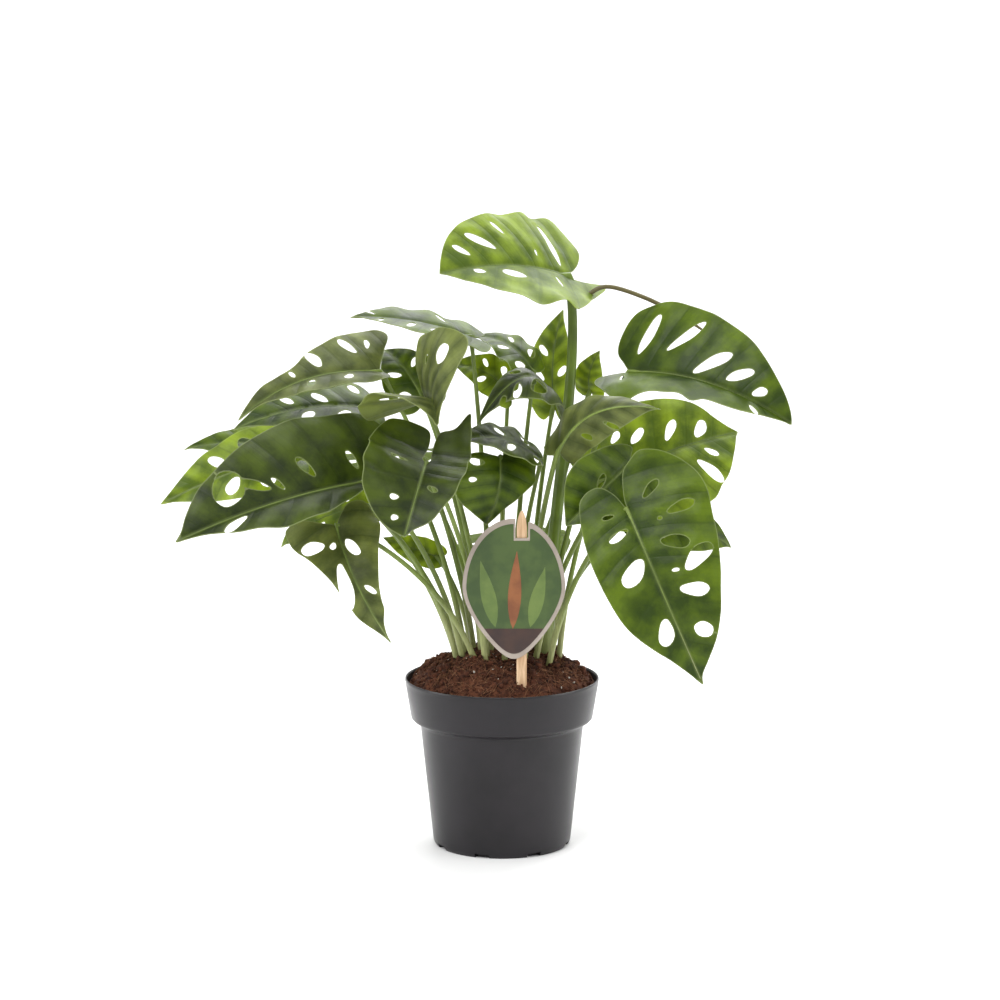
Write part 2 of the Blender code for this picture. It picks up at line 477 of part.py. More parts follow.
def blade(leaf, collection):
    """The thin blade: outline, holes and a few inner points, meshed flat, bent to its form, then thickened."""
    length = (Vector(leaf.tip) - Vector(leaf.base)).length
    left_half = half_outline(leaf.edge_left, leaf.lobe_left, leaf.full_left, 1)
    right_half = half_outline(leaf.edge_right, leaf.lobe_right, leaf.full_right, -1)
    outline = [(0.0, 0.0)] + left_half + [(1.0, 0.0)] + list(reversed(right_half))
    holes = [hole_outline(hole, leaf, length) for hole in leaf.holes]
    rib = [(place, 0.0) for place in RIB_PLACES]
    inner = [(place, side * share) for side in (1, -1) for place, share in INNER_SPOTS]
    points = list(outline)
    edges = [(i, (i + 1) % len(outline)) for i in range(len(outline))]
    for hole in holes:
        first = len(points)
        points += hole
        edges += [(first + i, first + (i + 1) % len(hole)) for i in range(len(hole))]
    rib_first = len(points)
    points += rib
    chain = [0] + list(range(rib_first, rib_first + len(rib))) + [outline.index((1.0, 0.0))]
    edges += list(zip(chain, chain[1:]))
    points += [spot for spot in inner if not any(inside(spot, hole) for hole in holes)]
    flat = [Vector((place * length, share * (leaf.left if share > 0 else leaf.right)))
            for place, share in points]
    loops = [[tuple(flat[points.index(spot)]) for spot in loop] for loop in [outline] + holes]
    spots, _, faces, _, _, _ = geometry.delaunay_2d_cdt(flat, edges, [], 0, 0.001)
    kept = []
    for face in faces:
        middle = sum((spots[i] for i in face), Vector((0, 0))) / 3
        if inside(middle, loops[0]) and not any(inside(middle, loop) for loop in loops[1:]):
            kept.append(face)
    solid = []
    for spot in spots:
        width = leaf.left if spot.y > 0 else leaf.right
        solid.append(blade_point(leaf, spot.x / length, spot.y / width) * MM)
    mesh = bpy.data.meshes.new(leaf.name)
    mesh.from_pydata(solid, [], kept)
    work = bmesh.new()
    work.from_mesh(mesh)
    bmesh.ops.delete(work, geom=[v for v in work.verts if not v.link_faces], context="VERTS")
    work.to_mesh(mesh)
    work.free()
    thing = add_object(leaf.name, mesh, collection)
    thick = thing.modifiers.new("thickness", "SOLIDIFY")
    thick.thickness = BLADE_THICKNESS * MM
    thick.offset = 0
    return bake(thing)


def foot_line(leaf):
    """The straight foot of a petiole: its lowest point in the soil and its direction."""
    x, y = leaf.foot
    surface = Vector((x, y, soil_height(x, y)))
    way = Vector(leaf.base) - surface
    lean = Vector((way.x * 0.45, way.y * 0.45, way.z)).normalized()
    return surface - lean * FOOT_DEPTH, lean


def petiole_path(leaf):
    """The petiole's points from its foot to the blade, then under the midrib, each with its radius."""
    low, lean = foot_line(leaf)
    start = low + lean * (FOOT_DEPTH + FOOT_RISE)
    base = Vector(leaf.base)
    reach = (base - start).length
    bow = Vector(leaf.bow)
    first = start + lean * (reach * 0.4)
    second = base - (base - first).normalized() * (reach * 0.25) + Vector((0, 0, reach * 0.05)) + bow
    path = [(low, leaf.radius * FOOT_SWELL)]
    for step in range(PETIOLE_STEPS + 1):
        t = step / PETIOLE_STEPS
        spot = (start * (1 - t) ** 3 + first * (3 * t * (1 - t) ** 2)
                + second * (3 * t * t * (1 - t)) + base * t ** 3)
        path.append((spot, leaf.radius * (FOOT_SWELL - 0.25 * t)))
    _, _, _, up = blade_axes(leaf)
    path.append((blade_point(leaf, 0.14, 0.0) - up * (0.35 * PETIOLE_RADIUS), PETIOLE_RADIUS * 0.55))
    return path


def tube(name, path, collection):
    """A round tube through points with radii, as a welded mesh."""
    curve = bpy.data.curves.new(name, "CURVE")
    curve.dimensions = "3D"
    curve.bevel_depth = MM
    curve.bevel_resolution = PETIOLE_BEVEL_RESOLUTION
    curve.use_fill_caps = True
    spline = curve.splines.new("POLY")
    spline.points.add(len(path) - 1)
    for point, (spot, radius) in zip(spline.points, path):
        point.co = (*(spot * MM), 1.0)
        point.radius = radius
    thing = bpy.data.objects.new(name, curve)
    collection.objects.link(thing)
    return bake(thing)


def join(thing, other):
    """Fuse another solid into this one by an exact union."""
    fuse = thing.modifiers.new("fuse", "BOOLEAN")
    fuse.operation = "UNION"
    fuse.object = other
    solid = bake(thing)
    bpy.data.objects.remove(other, do_unlink=True)
    return solid


def grow(leaf, collection, material):
    """One leaf with its petiole, and the crown leaf with its runner too, as one solid."""
    thing = join(blade(leaf, collection), tube(leaf.name + "_petiole", petiole_path(leaf), collection))
    if leaf.name == RUNNER_LEAF:
        path = [(Vector(spot), radius) for spot, radius in RUNNER]
        thing = join(thing, tube("runner", path, collection))
    thing.data.materials.clear()
    thing.data.materials.append(material)
    return thing


def soil_cutter(name, leaf, cutters):
    """The plain hole in the soil for one petiole's foot."""
    low, lean = foot_line(leaf)
    radius = (leaf.radius * FOOT_SWELL + CLEARANCE + 0.05) / math.cos(math.pi / HOLE_SIDES)
    depth = FOOT_DEPTH + FOOT_RISE
    bpy.ops.mesh.primitive_cylinder_add(vertices=HOLE_SIDES, radius=radius * MM, depth=(depth + 0.4) * MM)
    cutter = bpy.context.object
    cutter.name = name
    cutter.rotation_mode = "QUATERNION"
    cutter.rotation_quaternion = lean.to_track_quat("Z", "Y")
    cutter.location = (low + lean * (depth / 2 - 0.2)) * MM
    bpy.context.collection.objects.unlink(cutter)
    cutters.objects.link(cutter)
    hide_cutter(cutter)
    return cutter


def flat_piece(name, outline, thickness, collection):
    """A flat upright plate from a closed outline of x and z in mm."""
    curve = bpy.data.curves.new(name, "CURVE")
    curve.dimensions = "2D"
    curve.fill_mode = "BOTH"
    curve.extrude = thickness * MM / 2
    spline = curve.splines.new("POLY")
    spline.points.add(len(outline) - 1)
    spline.use_cyclic_u = True
    for point, (x, z) in zip(spline.points, outline):
        point.co = (x * MM, z * MM, 0.0, 1.0)
    thing = bpy.data.objects.new(name, curve)
    collection.objects.link(thing)
    thing.rotation_euler.x = math.pi / 2
    return thing


def label_stick(collection, cutters, thing_soil):
    """The flat wooden stick with its pointed top, in a plain slot in the soil."""
    half = STICK_WIDTH / 2
    outline = [(-half, STICK_BOTTOM), (half, STICK_BOTTOM), (half, STICK_TOP - STICK_POINT),
               (half * 0.45, STICK_TOP - 1.5), (0, STICK_TOP), (-half * 0.45, STICK_TOP - 1.5),
               (-half, STICK_TOP - STICK_POINT)]
    thing = flat_piece("label_stick", outline, STICK_THICKNESS, collection)
    thing.location = (STICK_PLACE[0] * MM, STICK_PLACE[1] * MM, 0)
    thing = bake_upright(thing)
    thing.data.materials.append(principled("pale_wood", (0.62, 0.45, 0.27), 0.7))
    bpy.ops.mesh.primitive_cube_add(size=1)
    slot = bpy.context.object
    slot.name = "stick_slot"
    top = 130.0
    slot.scale = ((STICK_WIDTH + 2 * CLEARANCE) * MM, (STICK_THICKNESS + 2 * CLEARANCE) * MM,
                  (top - STICK_BOTTOM + CLEARANCE) * MM)
    slot.location = (STICK_PLACE[0] * MM, STICK_PLACE[1] * MM, (top + STICK_BOTTOM - CLEARANCE) / 2 * MM)
    bpy.context.collection.objects.unlink(slot)
    cutters.objects.link(slot)
    hide_cutter(slot)
    cut = thing_soil.modifiers.new("stick_slot", "BOOLEAN")
    cut.operation = "DIFFERENCE"
    cut.object = slot
    return thing


def bake_upright(thing):
    """Bake a flat piece, turn its faces out, and put its turn and place into its mesh."""
    bpy.context.view_layer.update()
    plain = bake(thing)
    work = bmesh.new()
    work.from_mesh(plain.data)
    bmesh.ops.recalc_face_normals(work, faces=work.faces)
    if work.calc_volume(signed=True) < 0:
        bmesh.ops.reverse_faces(work, faces=work.faces)
    work.to_mesh(plain.data)
    work.free()
    plain.data.transform(plain.matrix_world)
    plain.matrix_world.identity()
    return plain


def card_outline():
    """The card's outline, counter-clockwise: round at the top, narrowing to its foot."""
    points = []
    for index in range(CARD_POINTS):
        turn = math.tau * index / CARD_POINTS
        taper = 1 - CARD_TAPER * max(0.0, -math.sin(turn)) ** 1.4
        points.append((CARD_CENTRE[0] + CARD_SIZE[0] / 2 * math.cos(turn) * taper,
                       CARD_CENTRE[1] + CARD_SIZE[1] / 2 * math.sin(turn)))
    return points


def notched(outline, middle, half, low):
    """A closed outline, counter-clockwise, with a slot cut down into its top."""
    kept = [spot for spot in outline if spot[1] < low or abs(spot[0] - middle) > half]
    after = next(index for index, spot in enumerate(kept) if spot[1] > low and spot[0] < middle)
    right_top = kept[after - 1][1]
    left_top = kept[after][1]
    slot = [(middle + half, right_top), (middle + half, low), (middle - half, low), (middle - half, left_top)]
    return kept[:after] + slot + kept[after:]


def label_card(collection):
    """The printed card in front of the stick, with a slot in its top edge that shows the stick's point."""
    outline = notched(card_outline(), STICK_PLACE[0], CARD_SLOT_WIDTH / 2, CARD_SLOT_LOW)
    thing = flat_piece("label_card", outline, CARD_THICKNESS, collection)
    front = STICK_PLACE[1] - STICK_THICKNESS / 2 - CLEARANCE - CARD_THICKNESS / 2
    thing.location = (0, front * MM, 0)
    thing = bake_upright(thing)
    thing.data.materials.append(principled("card", (0.12, 0.2, 0.07), 0.5))
    return thing


def main():
    """Build every piece."""
    pieces, cutters = clear_scene()
    pot(pieces, cutters)
    ground = soil(pieces)
    green = principled("leaf_green", (0.06, 0.16, 0.03), 0.4)
    for leaf in LEAVES:
        grow(leaf, pieces, green)
        cutter = soil_cutter("hole_" + leaf.name, leaf, cutters)
        cut = ground.modifiers.new(cutter.name, "BOOLEAN")
        cut.operation = "DIFFERENCE"
        cut.object = cutter
    label_stick(pieces, cutters, ground)
    label_card(pieces)


main()
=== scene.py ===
import math
import random
from dataclasses import dataclass

import bmesh
import bpy
import numpy as np
from mathutils import Matrix, Vector, geometry, kdtree, noise


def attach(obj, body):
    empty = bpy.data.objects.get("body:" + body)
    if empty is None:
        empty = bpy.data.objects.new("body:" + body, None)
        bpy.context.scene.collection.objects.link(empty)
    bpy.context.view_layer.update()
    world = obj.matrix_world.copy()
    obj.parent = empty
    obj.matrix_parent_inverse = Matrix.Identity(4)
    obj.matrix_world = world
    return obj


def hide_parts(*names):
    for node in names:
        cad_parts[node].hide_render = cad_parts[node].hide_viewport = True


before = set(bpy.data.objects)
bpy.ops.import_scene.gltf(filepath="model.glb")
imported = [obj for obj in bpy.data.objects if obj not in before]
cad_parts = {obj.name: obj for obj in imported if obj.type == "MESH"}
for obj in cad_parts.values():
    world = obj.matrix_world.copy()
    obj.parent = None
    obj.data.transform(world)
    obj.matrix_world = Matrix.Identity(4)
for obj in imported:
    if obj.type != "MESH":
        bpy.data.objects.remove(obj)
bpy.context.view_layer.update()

MM = 0.001
BODY = "root"

# The photograph's view: the camera's place in metres, its pitch down in degrees, its lens in mm.
CAMERA_PLACE = (-0.0012, -2.0, 0.548)
CAMERA_PITCH = 9.43
CAMERA_LENS = 118.9

# The outline of half a blade: place along the midrib (0 base, 1 tip) and share of the half width.
# A negative place is the lobe behind the base, in shares of the lobe's length.
HALF_OUTLINE = (
    (-0.55, 0.14), (-1.0, 0.42), (-0.62, 0.74), (0.05, 0.93), (0.2, 1.0), (0.38, 0.97),
    (0.55, 0.82), (0.7, 0.6), (0.82, 0.36), (0.92, 0.14),
)

# Holes of a blade: inner end (place, share across), outer end (place, share across), width as a share of
# the blade's length. Plus is the left half.
USUAL_HOLES = (
    (0.06, 0.3, 0.1, 0.78, 0.1),
    (0.26, 0.26, 0.34, 0.76, 0.1),
    (0.48, 0.22, 0.58, 0.62, 0.08),
    (0.08, -0.28, 0.13, -0.76, 0.1),
    (0.3, -0.26, 0.39, -0.74, 0.09),
    (0.52, -0.2, 0.61, -0.56, 0.07),
)
FEW_HOLES = (
    (0.12, 0.3, 0.18, 0.72, 0.11),
    (0.42, 0.24, 0.52, 0.62, 0.09),
    (0.16, -0.28, 0.22, -0.7, 0.11),
    (0.46, -0.22, 0.56, -0.56, 0.08),
)

# Blades and petioles, with the steps and counts of their meshes.
BLADE_THICKNESS = 0.5
BLADE_MESH_STEP = 1.9
EDGE_STEP = 1.3
HOLE_POINTS = 24
PETIOLE_RADIUS = 1.5
PETIOLE_SIDES = 12
FOOT_DEPTH = 14.0
FOOT_RISE = 9.0
FOOT_SWELL = 1.2
PETIOLE_STEPS = 34
RIB_STEPS = 26
NECK_LENGTH = 6.0

# The pot's drainage notches: how many, where the first stands as a share of their spacing, and their
# cutter's sides and place.
NOTCH_COUNT = 8
NOTCH_START = 0.62
NOTCH_CUTTER = (8.0, 9.0, 5.0)
NOTCH_RADIUS = 42.6
NOTCH_MIDDLE = 0.2

# The soil: its top's height and radius, where its heap ends, how far out loose bits may lie, and the
# radii and heights of its side below the top.
SOIL_EDGE = 101.0
SOIL_HEAP = 19.0
SOIL_BUMP = 3.2
SOIL_RADIUS = 57.7
SOIL_WALL = 57.6
SOIL_CLEAR = 57.0
SOIL_SIDE = ((54.3, 81.0), (48.7, 76.9), (40.4, 5.2))
CRUMBS = 1500
BIG_CRUMBS = 110
FIBRES = 900
GRAINS = 70

# The label. CARD_PANEL is a share of the card's size, CARD_GROUND the height of its brown ground.
STICK_WIDTH = 6.2
STICK_THICKNESS = 1.7
STICK_LOW = 79.0
STICK_PLACE = (11.9, -46.0)
CARD_SIZE = (62.0, 86.0)
CARD_TAPER = 0.42
CARD_POINTS = 96
CARD_CENTRE = (7.2, 169.5)
CARD_SLOT_WIDTH = 7.6
CARD_SLOT_LOW = 200.5
CARD_PANEL = 0.925
CARD_GROUND = 147.0
CARD_THICKNESS = 0.9
CARD_Y = -47.7
PANEL_Y = -48.25
PRINT_Y = -48.36


@dataclass
class Leaf:
    """One leaf. Lengths in mm, angles in degrees; face is where the upper side looks.

    An edge is a leaf's own outline of one half, with its lobe's places as shares of the blade's length.
    A full above 1 narrows the usual outline and one below 1 fills it out.
    """
    name: str
    base: tuple
    tip: tuple
    face: tuple
    left: float
    right: float
    foot: tuple
    tone: str = "mid"
    lobe_left: float = 0.14
    lobe_right: float = 0.14
    full_left: float = 1.0
    full_right: float = 1.0
    arch: float = 8.0
    sway: float = 0.0
    twist: float = 0.0
    fold_left: float = 10.0
    fold_right: float = 10.0
    curl_left: float = -18.0
    curl_right: float = -18.0
    radius: float = PETIOLE_RADIUS
    holes: tuple = USUAL_HOLES
    edge_left: tuple = ()
    edge_right: tuple = ()
    bow: tuple = (0.0, 0.0, 0.0)


# The thin runner that leaves the crown leaf's stem and ends behind the leaf on the right: place, radius.
RUNNER_LEAF = "leaf_crown"
RUNNER = (
    ((46, 11, 333), 1.6), ((54, 11, 342), 1.5), ((66, 11, 346), 1.4), ((90, 13, 338), 1.4),
    ((112, 17, 326), 1.3), ((124, 19, 318), 0.6),
)

LEAVES = (
    Leaf("leaf_crown", (40, 10, 353), (-37, -45, 360), (0, -0.75, 0.65), 33, 41, (28.5, 4.5), tone="bright",
         arch=9, curl_left=10, radius=3.4, bow=(15, 3, 0),
         edge_left=((-0.08, 0.04), (-0.2, 0.04), (-0.32, 0.08), (-0.3, 0.22), (-0.22, 0.38),
             (-0.07, 0.68), (0.05, 0.98), (0.16, 1.15), (0.28, 1.24), (0.5, 1.16), (0.64, 0.92),
             (0.77, 0.64), (0.87, 0.36), (0.95, 0.14)),
         edge_right=((-0.1, 0.16), (-0.17, 0.32), (-0.22, 0.52), (-0.21, 0.7), (-0.16, 0.9),
             (-0.06, 1.14), (0.1, 1.12), (0.28, 1.04), (0.46, 1.0), (0.69, 0.85), (0.83, 0.65),
             (0.91, 0.45), (0.97, 0.2)),
         holes=((0.04, -0.14, 0.07, -0.94, 0.07), (0.455, -0.57, 0.52, -0.8, 0.035),
             (0.57, -0.28, 0.75, -0.58, 0.06), (0.77, -0.2, 0.86, -0.41, 0.042),
             (0.25, -0.2, 0.25, -0.32, 0.02), (0.72, 0.18, 0.79, 0.08, 0.05),
             (0.45, 0.36, 0.6, 0.18, 0.08), (0.16, 0.18, 0.165, 0.52, 0.034))),
    Leaf("leaf_right_high", (77, -5, 296), (173, -50, 270), (0.2, -0.95, 0.25), 53, 28, (27, 12.5), arch=10,
         sway=6.5, fold_left=5, fold_right=56,
         edge_left=((-0.05, 0.1), (-0.11, 0.22), (-0.13, 0.4), (-0.125, 0.67), (-0.07, 0.83), (0.07, 0.9),
             (0.2, 0.87), (0.4, 0.78), (0.6, 0.66), (0.72, 0.53), (0.86, 0.33), (0.925, 0.22),
             (0.975, 0.1)),
         edge_right=((-0.08, 0.3), (-0.13, 0.55), (-0.1, 0.85), (0.02, 1.2), (0.12, 1.35), (0.22, 1.2),
             (0.3, 1.0), (0.4, 0.82), (0.5, 0.95), (0.56, 0.8), (0.66, 0.75), (0.76, 0.6), (0.88, 0.35),
             (0.95, 0.15)),
         holes=((0.02, 0.21, 0.055, 0.72, 0.068), (0.185, 0.27, 0.345, 0.67, 0.062),
             (0.385, 0.06, 0.56, 0.4, 0.066), (0.58, 0.1, 0.71, 0.31, 0.056),
             (0.745, 0.06, 0.815, 0.18, 0.045), (0.77, -0.25, 0.84, -0.45, 0.03),
             (0.0, -0.3, 0.03, -0.6, 0.025))),
    Leaf("leaf_front_right", (74, -68, 222), (119, -92, 120), (-0.1, -0.95, 0.25), 43, 36, (29, -16),
         arch=10,
         edge_left=((-0.06, 0.02), (-0.18, 0.14), (-0.23, 0.31), (-0.255, 0.5), (-0.2, 0.79),
             (-0.08, 1.05), (0.06, 1.13), (0.2, 1.07), (0.31, 1.01), (0.47, 0.88), (0.58, 0.755),
             (0.68, 0.64), (0.8, 0.44), (0.89, 0.21), (0.95, 0.05)),
         edge_right=((-0.09, 0.1), (-0.15, 0.25), (-0.165, 0.4), (-0.15, 0.58), (-0.1, 0.72),
             (0.07, 0.87), (0.25, 0.9), (0.43, 0.87), (0.56, 0.79), (0.65, 0.67), (0.74, 0.5),
             (0.82, 0.32), (0.91, 0.15), (0.97, 0.05)),
         holes=((-0.02, 0.27, -0.075, 0.55, 0.042), (0.1, 0.5, 0.1, 0.9, 0.05),
             (0.115, 0.34, 0.115, 0.4, 0.016), (0.225, 0.26, 0.29, 0.62, 0.066),
             (0.41, 0.42, 0.34, 0.87, 0.085), (0.39, 0.24, 0.4, 0.34, 0.018),
             (0.495, 0.24, 0.555, 0.61, 0.07), (0.7, 0.22, 0.765, 0.42, 0.08),
             (0.01, -0.25, 0.003, -0.44, 0.022), (0.105, -0.13, 0.13, -0.48, 0.042),
             (0.28, -0.09, 0.375, -0.53, 0.09), (0.61, -0.12, 0.74, -0.3, 0.08))),
    Leaf("leaf_front_right_inner", (78, -31, 244), (38, -55, 209), (0.1, -0.95, 0.3), 26, 28, (21, -8),
         arch=6, curl_right=10,
         edge_right=((-0.05, 0.1), (-0.13, 0.22), (-0.07, 0.42), (0.09, 0.62), (0.29, 0.76), (0.5, 0.85),
             (0.65, 0.78), (0.76, 0.62), (0.87, 0.37), (0.95, 0.14)),
         holes=((0.5, -0.08, 0.34, -0.22, 0.07), (0.2, 0.3, 0.26, 0.7, 0.1))),
    Leaf("leaf_right_back", (59, 12, 225), (148, 45, 252), (-0.15, -0.85, 0.5), 46, 42, (35.5, 1.2),
         tone="bright",
         edge_left=((-0.05, 0.14), (-0.1, 0.42), (-0.06, 0.74), (0.1, 0.93), (0.3, 0.9), (0.51, 0.8),
             (0.675, 0.7), (0.76, 0.6), (0.82, 0.46), (0.88, 0.26), (0.945, 0.09)),
         edge_right=((-0.08, 0.14), (-0.14, 0.42), (-0.09, 0.74), (0.05, 0.95), (0.2, 1.02), (0.4, 1.04),
             (0.6, 0.98), (0.7, 0.8), (0.785, 0.65), (0.9, 0.31), (0.96, 0.1)),
         holes=((0.18, 0.4, 0.25, 0.52, 0.045), (0.29, 0.28, 0.4, 0.44, 0.055),
             (0.5, 0.15, 0.61, 0.39, 0.055), (0.7, 0.06, 0.8, 0.26, 0.07),
             (0.71, -0.15, 0.775, -0.33, 0.046), (0.63, -0.3, 0.72, -0.76, 0.075),
             (0.4, -0.3, 0.48, -0.72, 0.09), (0.15, -0.3, 0.2, -0.72, 0.09))),
    Leaf("leaf_right_low_back", (84, 10, 205), (144, 30, 181), (0.2, -0.7, 0.6), 20, 22, (27.5, 20),
         holes=FEW_HOLES),
    Leaf("leaf_centre_right", (34, -36, 252), (94, -61, 281), (-0.35, -0.93, 0.1), 19, 20, (14, -15),
         tone="pale", arch=9, sway=12, twist=-55, lobe_left=0.16, lobe_right=0.03, fold_left=-20,
         fold_right=-60, curl_right=10,
         holes=((0.5, -0.4, 0.6, -0.75, 0.05), (0.25, -0.4, 0.32, -0.75, 0.06))),
    Leaf("leaf_centre_arched", (38, -7, 263), (-16, -30, 266), (0, -0.3, 0.95), 28, 22, (13.5, -4),
         tone="deep", arch=33, curl_left=-45, curl_right=-45,
         edge_left=((0.03, 0.2), (0.12, 0.42), (0.25, 0.72), (0.4, 0.97), (0.55, 0.92), (0.7, 0.68),
             (0.82, 0.4), (0.92, 0.15)),
         edge_right=((0.03, 0.12), (0.12, 0.28), (0.25, 0.66), (0.38, 0.92), (0.55, 0.82), (0.7, 0.6),
             (0.82, 0.36), (0.92, 0.14)),
         holes=((0.42, 0.2, 0.52, 0.75, 0.17), (0.66, 0.2, 0.72, 0.62, 0.08), (0.8, 0.2, 0.84, 0.5, 0.06),
             (0.3, -0.28, 0.37, -0.7, 0.1), (0.56, -0.22, 0.62, -0.56, 0.08))),
    Leaf("leaf_behind_stem", (32, 42, 268), (38, 55, 328), (-0.4, -0.85, 0.3), 17, 14, (16, 22),
         tone="bright",
         holes=((0.25, 0.3, 0.33, 0.7, 0.08), (0.5, 0.2, 0.6, 0.55, 0.06), (0.3, -0.3, 0.4, -0.7, 0.07))),
    Leaf("leaf_young", (54, 19, 280), (60, 16, 307), (-0.3, -0.8, 0.3), 10, 11, (20.5, 15.5), tone="bright",
         holes=(), bow=(0, -6, 0)),
    Leaf("leaf_centre_flat", (20, 26, 292), (-19, 40, 312), (0, -0.2, 1), 22, 17, (6, 10), lobe_right=0.06,
         holes=FEW_HOLES),
    Leaf("leaf_centre_back", (4, 28, 280), (-32, 28, 297), (0, -0.7, 0.7), 16, 15, (-1.5, 16),
         tone="bright", holes=FEW_HOLES),
    Leaf("leaf_left_high", (-19, 8, 316), (-92, -8, 330), (0, -0.22, 0.97), 30, 24, (-6.5, 6), arch=4,
         holes=((0.8, -0.12, 0.87, -0.34, 0.035), (0.75, 0.15, 0.79, 0.38, 0.04),
             (0.3, 0.3, 0.38, 0.72, 0.07), (0.5, 0.28, 0.57, 0.62, 0.06), (0.2, -0.35, 0.27, -0.75, 0.06))),
    Leaf("leaf_left_upper", (-74, -10, 297), (-158, -45, 272), (-0.1, -0.7, 0.7), 28, 38, (-17, 8.5),
         tone="pale", fold_left=26, arch=5, sway=-9,
         edge_left=((-0.03, 0.3), (0.08, 0.55), (0.25, 0.65), (0.42, 0.6), (0.55, 0.56), (0.64, 0.48),
             (0.73, 0.3), (0.82, 0.16), (0.92, 0.07)),
         edge_right=((-0.04, 0.2), (-0.1, 0.45), (-0.18, 0.78), (-0.12, 0.94), (0.0, 0.9), (0.145, 0.74),
             (0.365, 0.5), (0.52, 0.28), (0.66, 0.22), (0.78, 0.2), (0.915, 0.08)),
         holes=((0.09, -0.36, 0.15, -0.67, 0.07), (0.35, -0.15, 0.39, -0.47, 0.08),
             (0.54, -0.09, 0.56, -0.22, 0.03), (0.0, -0.48, -0.03, -0.7, 0.03),
             (0.2, 0.2, 0.26, 0.45, 0.05), (0.45, 0.15, 0.5, 0.4, 0.05))),
    Leaf("leaf_left_under", (-80, 8, 272), (-163, -22, 263), (-0.1, -0.5, 0.85), 24, 25, (-22.5, 2.4),
         lobe_left=0.05, lobe_right=0.05,
         holes=((0.31, -0.12, 0.4, -0.45, 0.07), (0.05, -0.5, 0.09, -0.85, 0.07),
             (0.55, -0.2, 0.62, -0.5, 0.06), (0.2, 0.3, 0.28, 0.7, 0.09), (0.45, 0.25, 0.54, 0.6, 0.08))),
    Leaf("leaf_left_long", (-80, -50, 236), (-191, -102, 208), (0, -0.85, 0.5), 26, 49, (-24, -9),
         tone="deep", fold_left=28, arch=12,
         edge_left=((0.02, 0.16), (0.08, 0.36), (0.16, 0.52), (0.3, 0.74), (0.44, 0.79), (0.55, 0.76),
             (0.74, 0.48), (0.87, 0.2), (0.95, 0.07)),
         edge_right=((-0.1, 0.1), (-0.19, 0.35), (-0.21, 0.65), (-0.12, 0.88), (0.0, 0.95), (0.17, 0.98),
             (0.32, 0.97), (0.47, 0.89), (0.6, 0.76), (0.72, 0.62), (0.82, 0.475), (0.91, 0.25),
             (0.96, 0.08)),
         holes=((0.725, -0.14, 0.65, -0.55, 0.15), (0.5, -0.17, 0.64, -0.4, 0.045),
             (0.66, 0.12, 0.79, 0.36, 0.045), (0.435, -0.12, 0.475, -0.3, 0.025),
             (0.265, -0.18, 0.32, -0.46, 0.045), (0.03, -0.17, 0.05, -0.43, 0.037))),
    Leaf("leaf_front_left", (-45, -62, 249), (-57, -104, 211), (0.1, -0.9, 0.55), 32, 37, (-10, -20),
         tone="deep", curl_left=25, curl_right=20,
         edge_left=((-0.04, 0.07), (-0.1, 0.06), (-0.3, 0.04), (-0.48, 0.1), (-0.56, 0.36), (-0.76, 0.56),
             (-0.6, 0.66), (-0.4, 0.74), (-0.16, 0.82), (0.05, 0.82), (0.25, 0.79), (0.52, 0.7),
             (0.735, 0.52), (0.83, 0.4), (0.92, 0.14)),
         edge_right=((-0.04, 0.07), (-0.1, 0.06), (-0.3, 0.03), (-0.46, 0.1), (-0.48, 0.38),
             (-0.43, 0.65), (-0.32, 0.86), (-0.05, 1.0), (0.33, 1.02), (0.62, 0.95), (0.8, 0.78),
             (0.92, 0.55), (0.98, 0.28)),
         holes=((0.42, 0.17, 0.48, 0.36, 0.06), (0.84, -0.18, 0.88, -0.29, 0.05),
             (0.64, -0.26, 0.68, -0.4, 0.06), (0.12, -0.3, 0.16, -0.6, 0.05))),
    Leaf("leaf_folded_left", (-46, -36, 282), (-38, -88, 275), (0, -0.05, 1), 47, 42, (-9, -10.5),
         tone="pale", lobe_left=0.2, twist=-45, fold_left=105, fold_right=-8, curl_left=-25,
         edge_left=((-0.06, 0.25), (-0.1, 0.52), (-0.03, 0.82), (0.1, 0.88), (0.33, 0.93), (0.58, 0.96),
             (0.68, 0.94), (0.73, 0.82), (0.76, 0.6), (0.8, 0.42), (0.87, 0.18), (0.95, 0.06)),
         holes=((0.42, 0.46, 0.48, 0.74, 0.19), (0.15, 0.45, 0.16, 0.57, 0.05),
             (0.25, -0.35, 0.32, -0.72, 0.09), (0.5, -0.3, 0.58, -0.6, 0.08))),
    Leaf("leaf_folded_back", (-48, 8, 276), (-73, 28, 306), (0.1, -0.75, 0.6), 20, 19, (-12.5, -1.5),
         lobe_left=0.08, holes=FEW_HOLES),
    Leaf("leaf_left_far", (-120, 8, 246), (-209, -10, 215), (0.1, -0.8, 0.55), 22, 24, (-28.5, 4),
         tone="bright"),
    Leaf("leaf_left_far_back", (-122, 40, 236), (-200, 52, 240), (-0.2, -0.4, 0.9), 20, 20, (-25, 15),
         holes=FEW_HOLES),
    Leaf("leaf_low_left", (-100, -38, 207), (-66, -62, 139), (0.1, -0.9, 0.4), 21, 29, (-17, -16),
         tone="pale", sway=-5,
         edge_left=((-0.06, 0.2), (-0.12, 0.5), (-0.1, 0.9), (0.0, 1.15), (0.14, 1.25), (0.3, 1.0),
             (0.42, 0.8), (0.565, 0.57), (0.685, 0.42), (0.75, 0.36), (0.84, 0.15), (0.92, 0.04)),
         edge_right=((-0.06, 0.3), (-0.14, 0.7), (-0.12, 1.08), (0.0, 1.06), (0.09, 0.95), (0.18, 0.76),
             (0.325, 0.56), (0.43, 0.46), (0.565, 0.4), (0.64, 0.36), (0.725, 0.33), (0.805, 0.24),
             (0.92, 0.07)),
         holes=((0.3, -0.16, 0.66, -0.35, 0.11), (0.12, -0.36, 0.09, -0.86, 0.1),
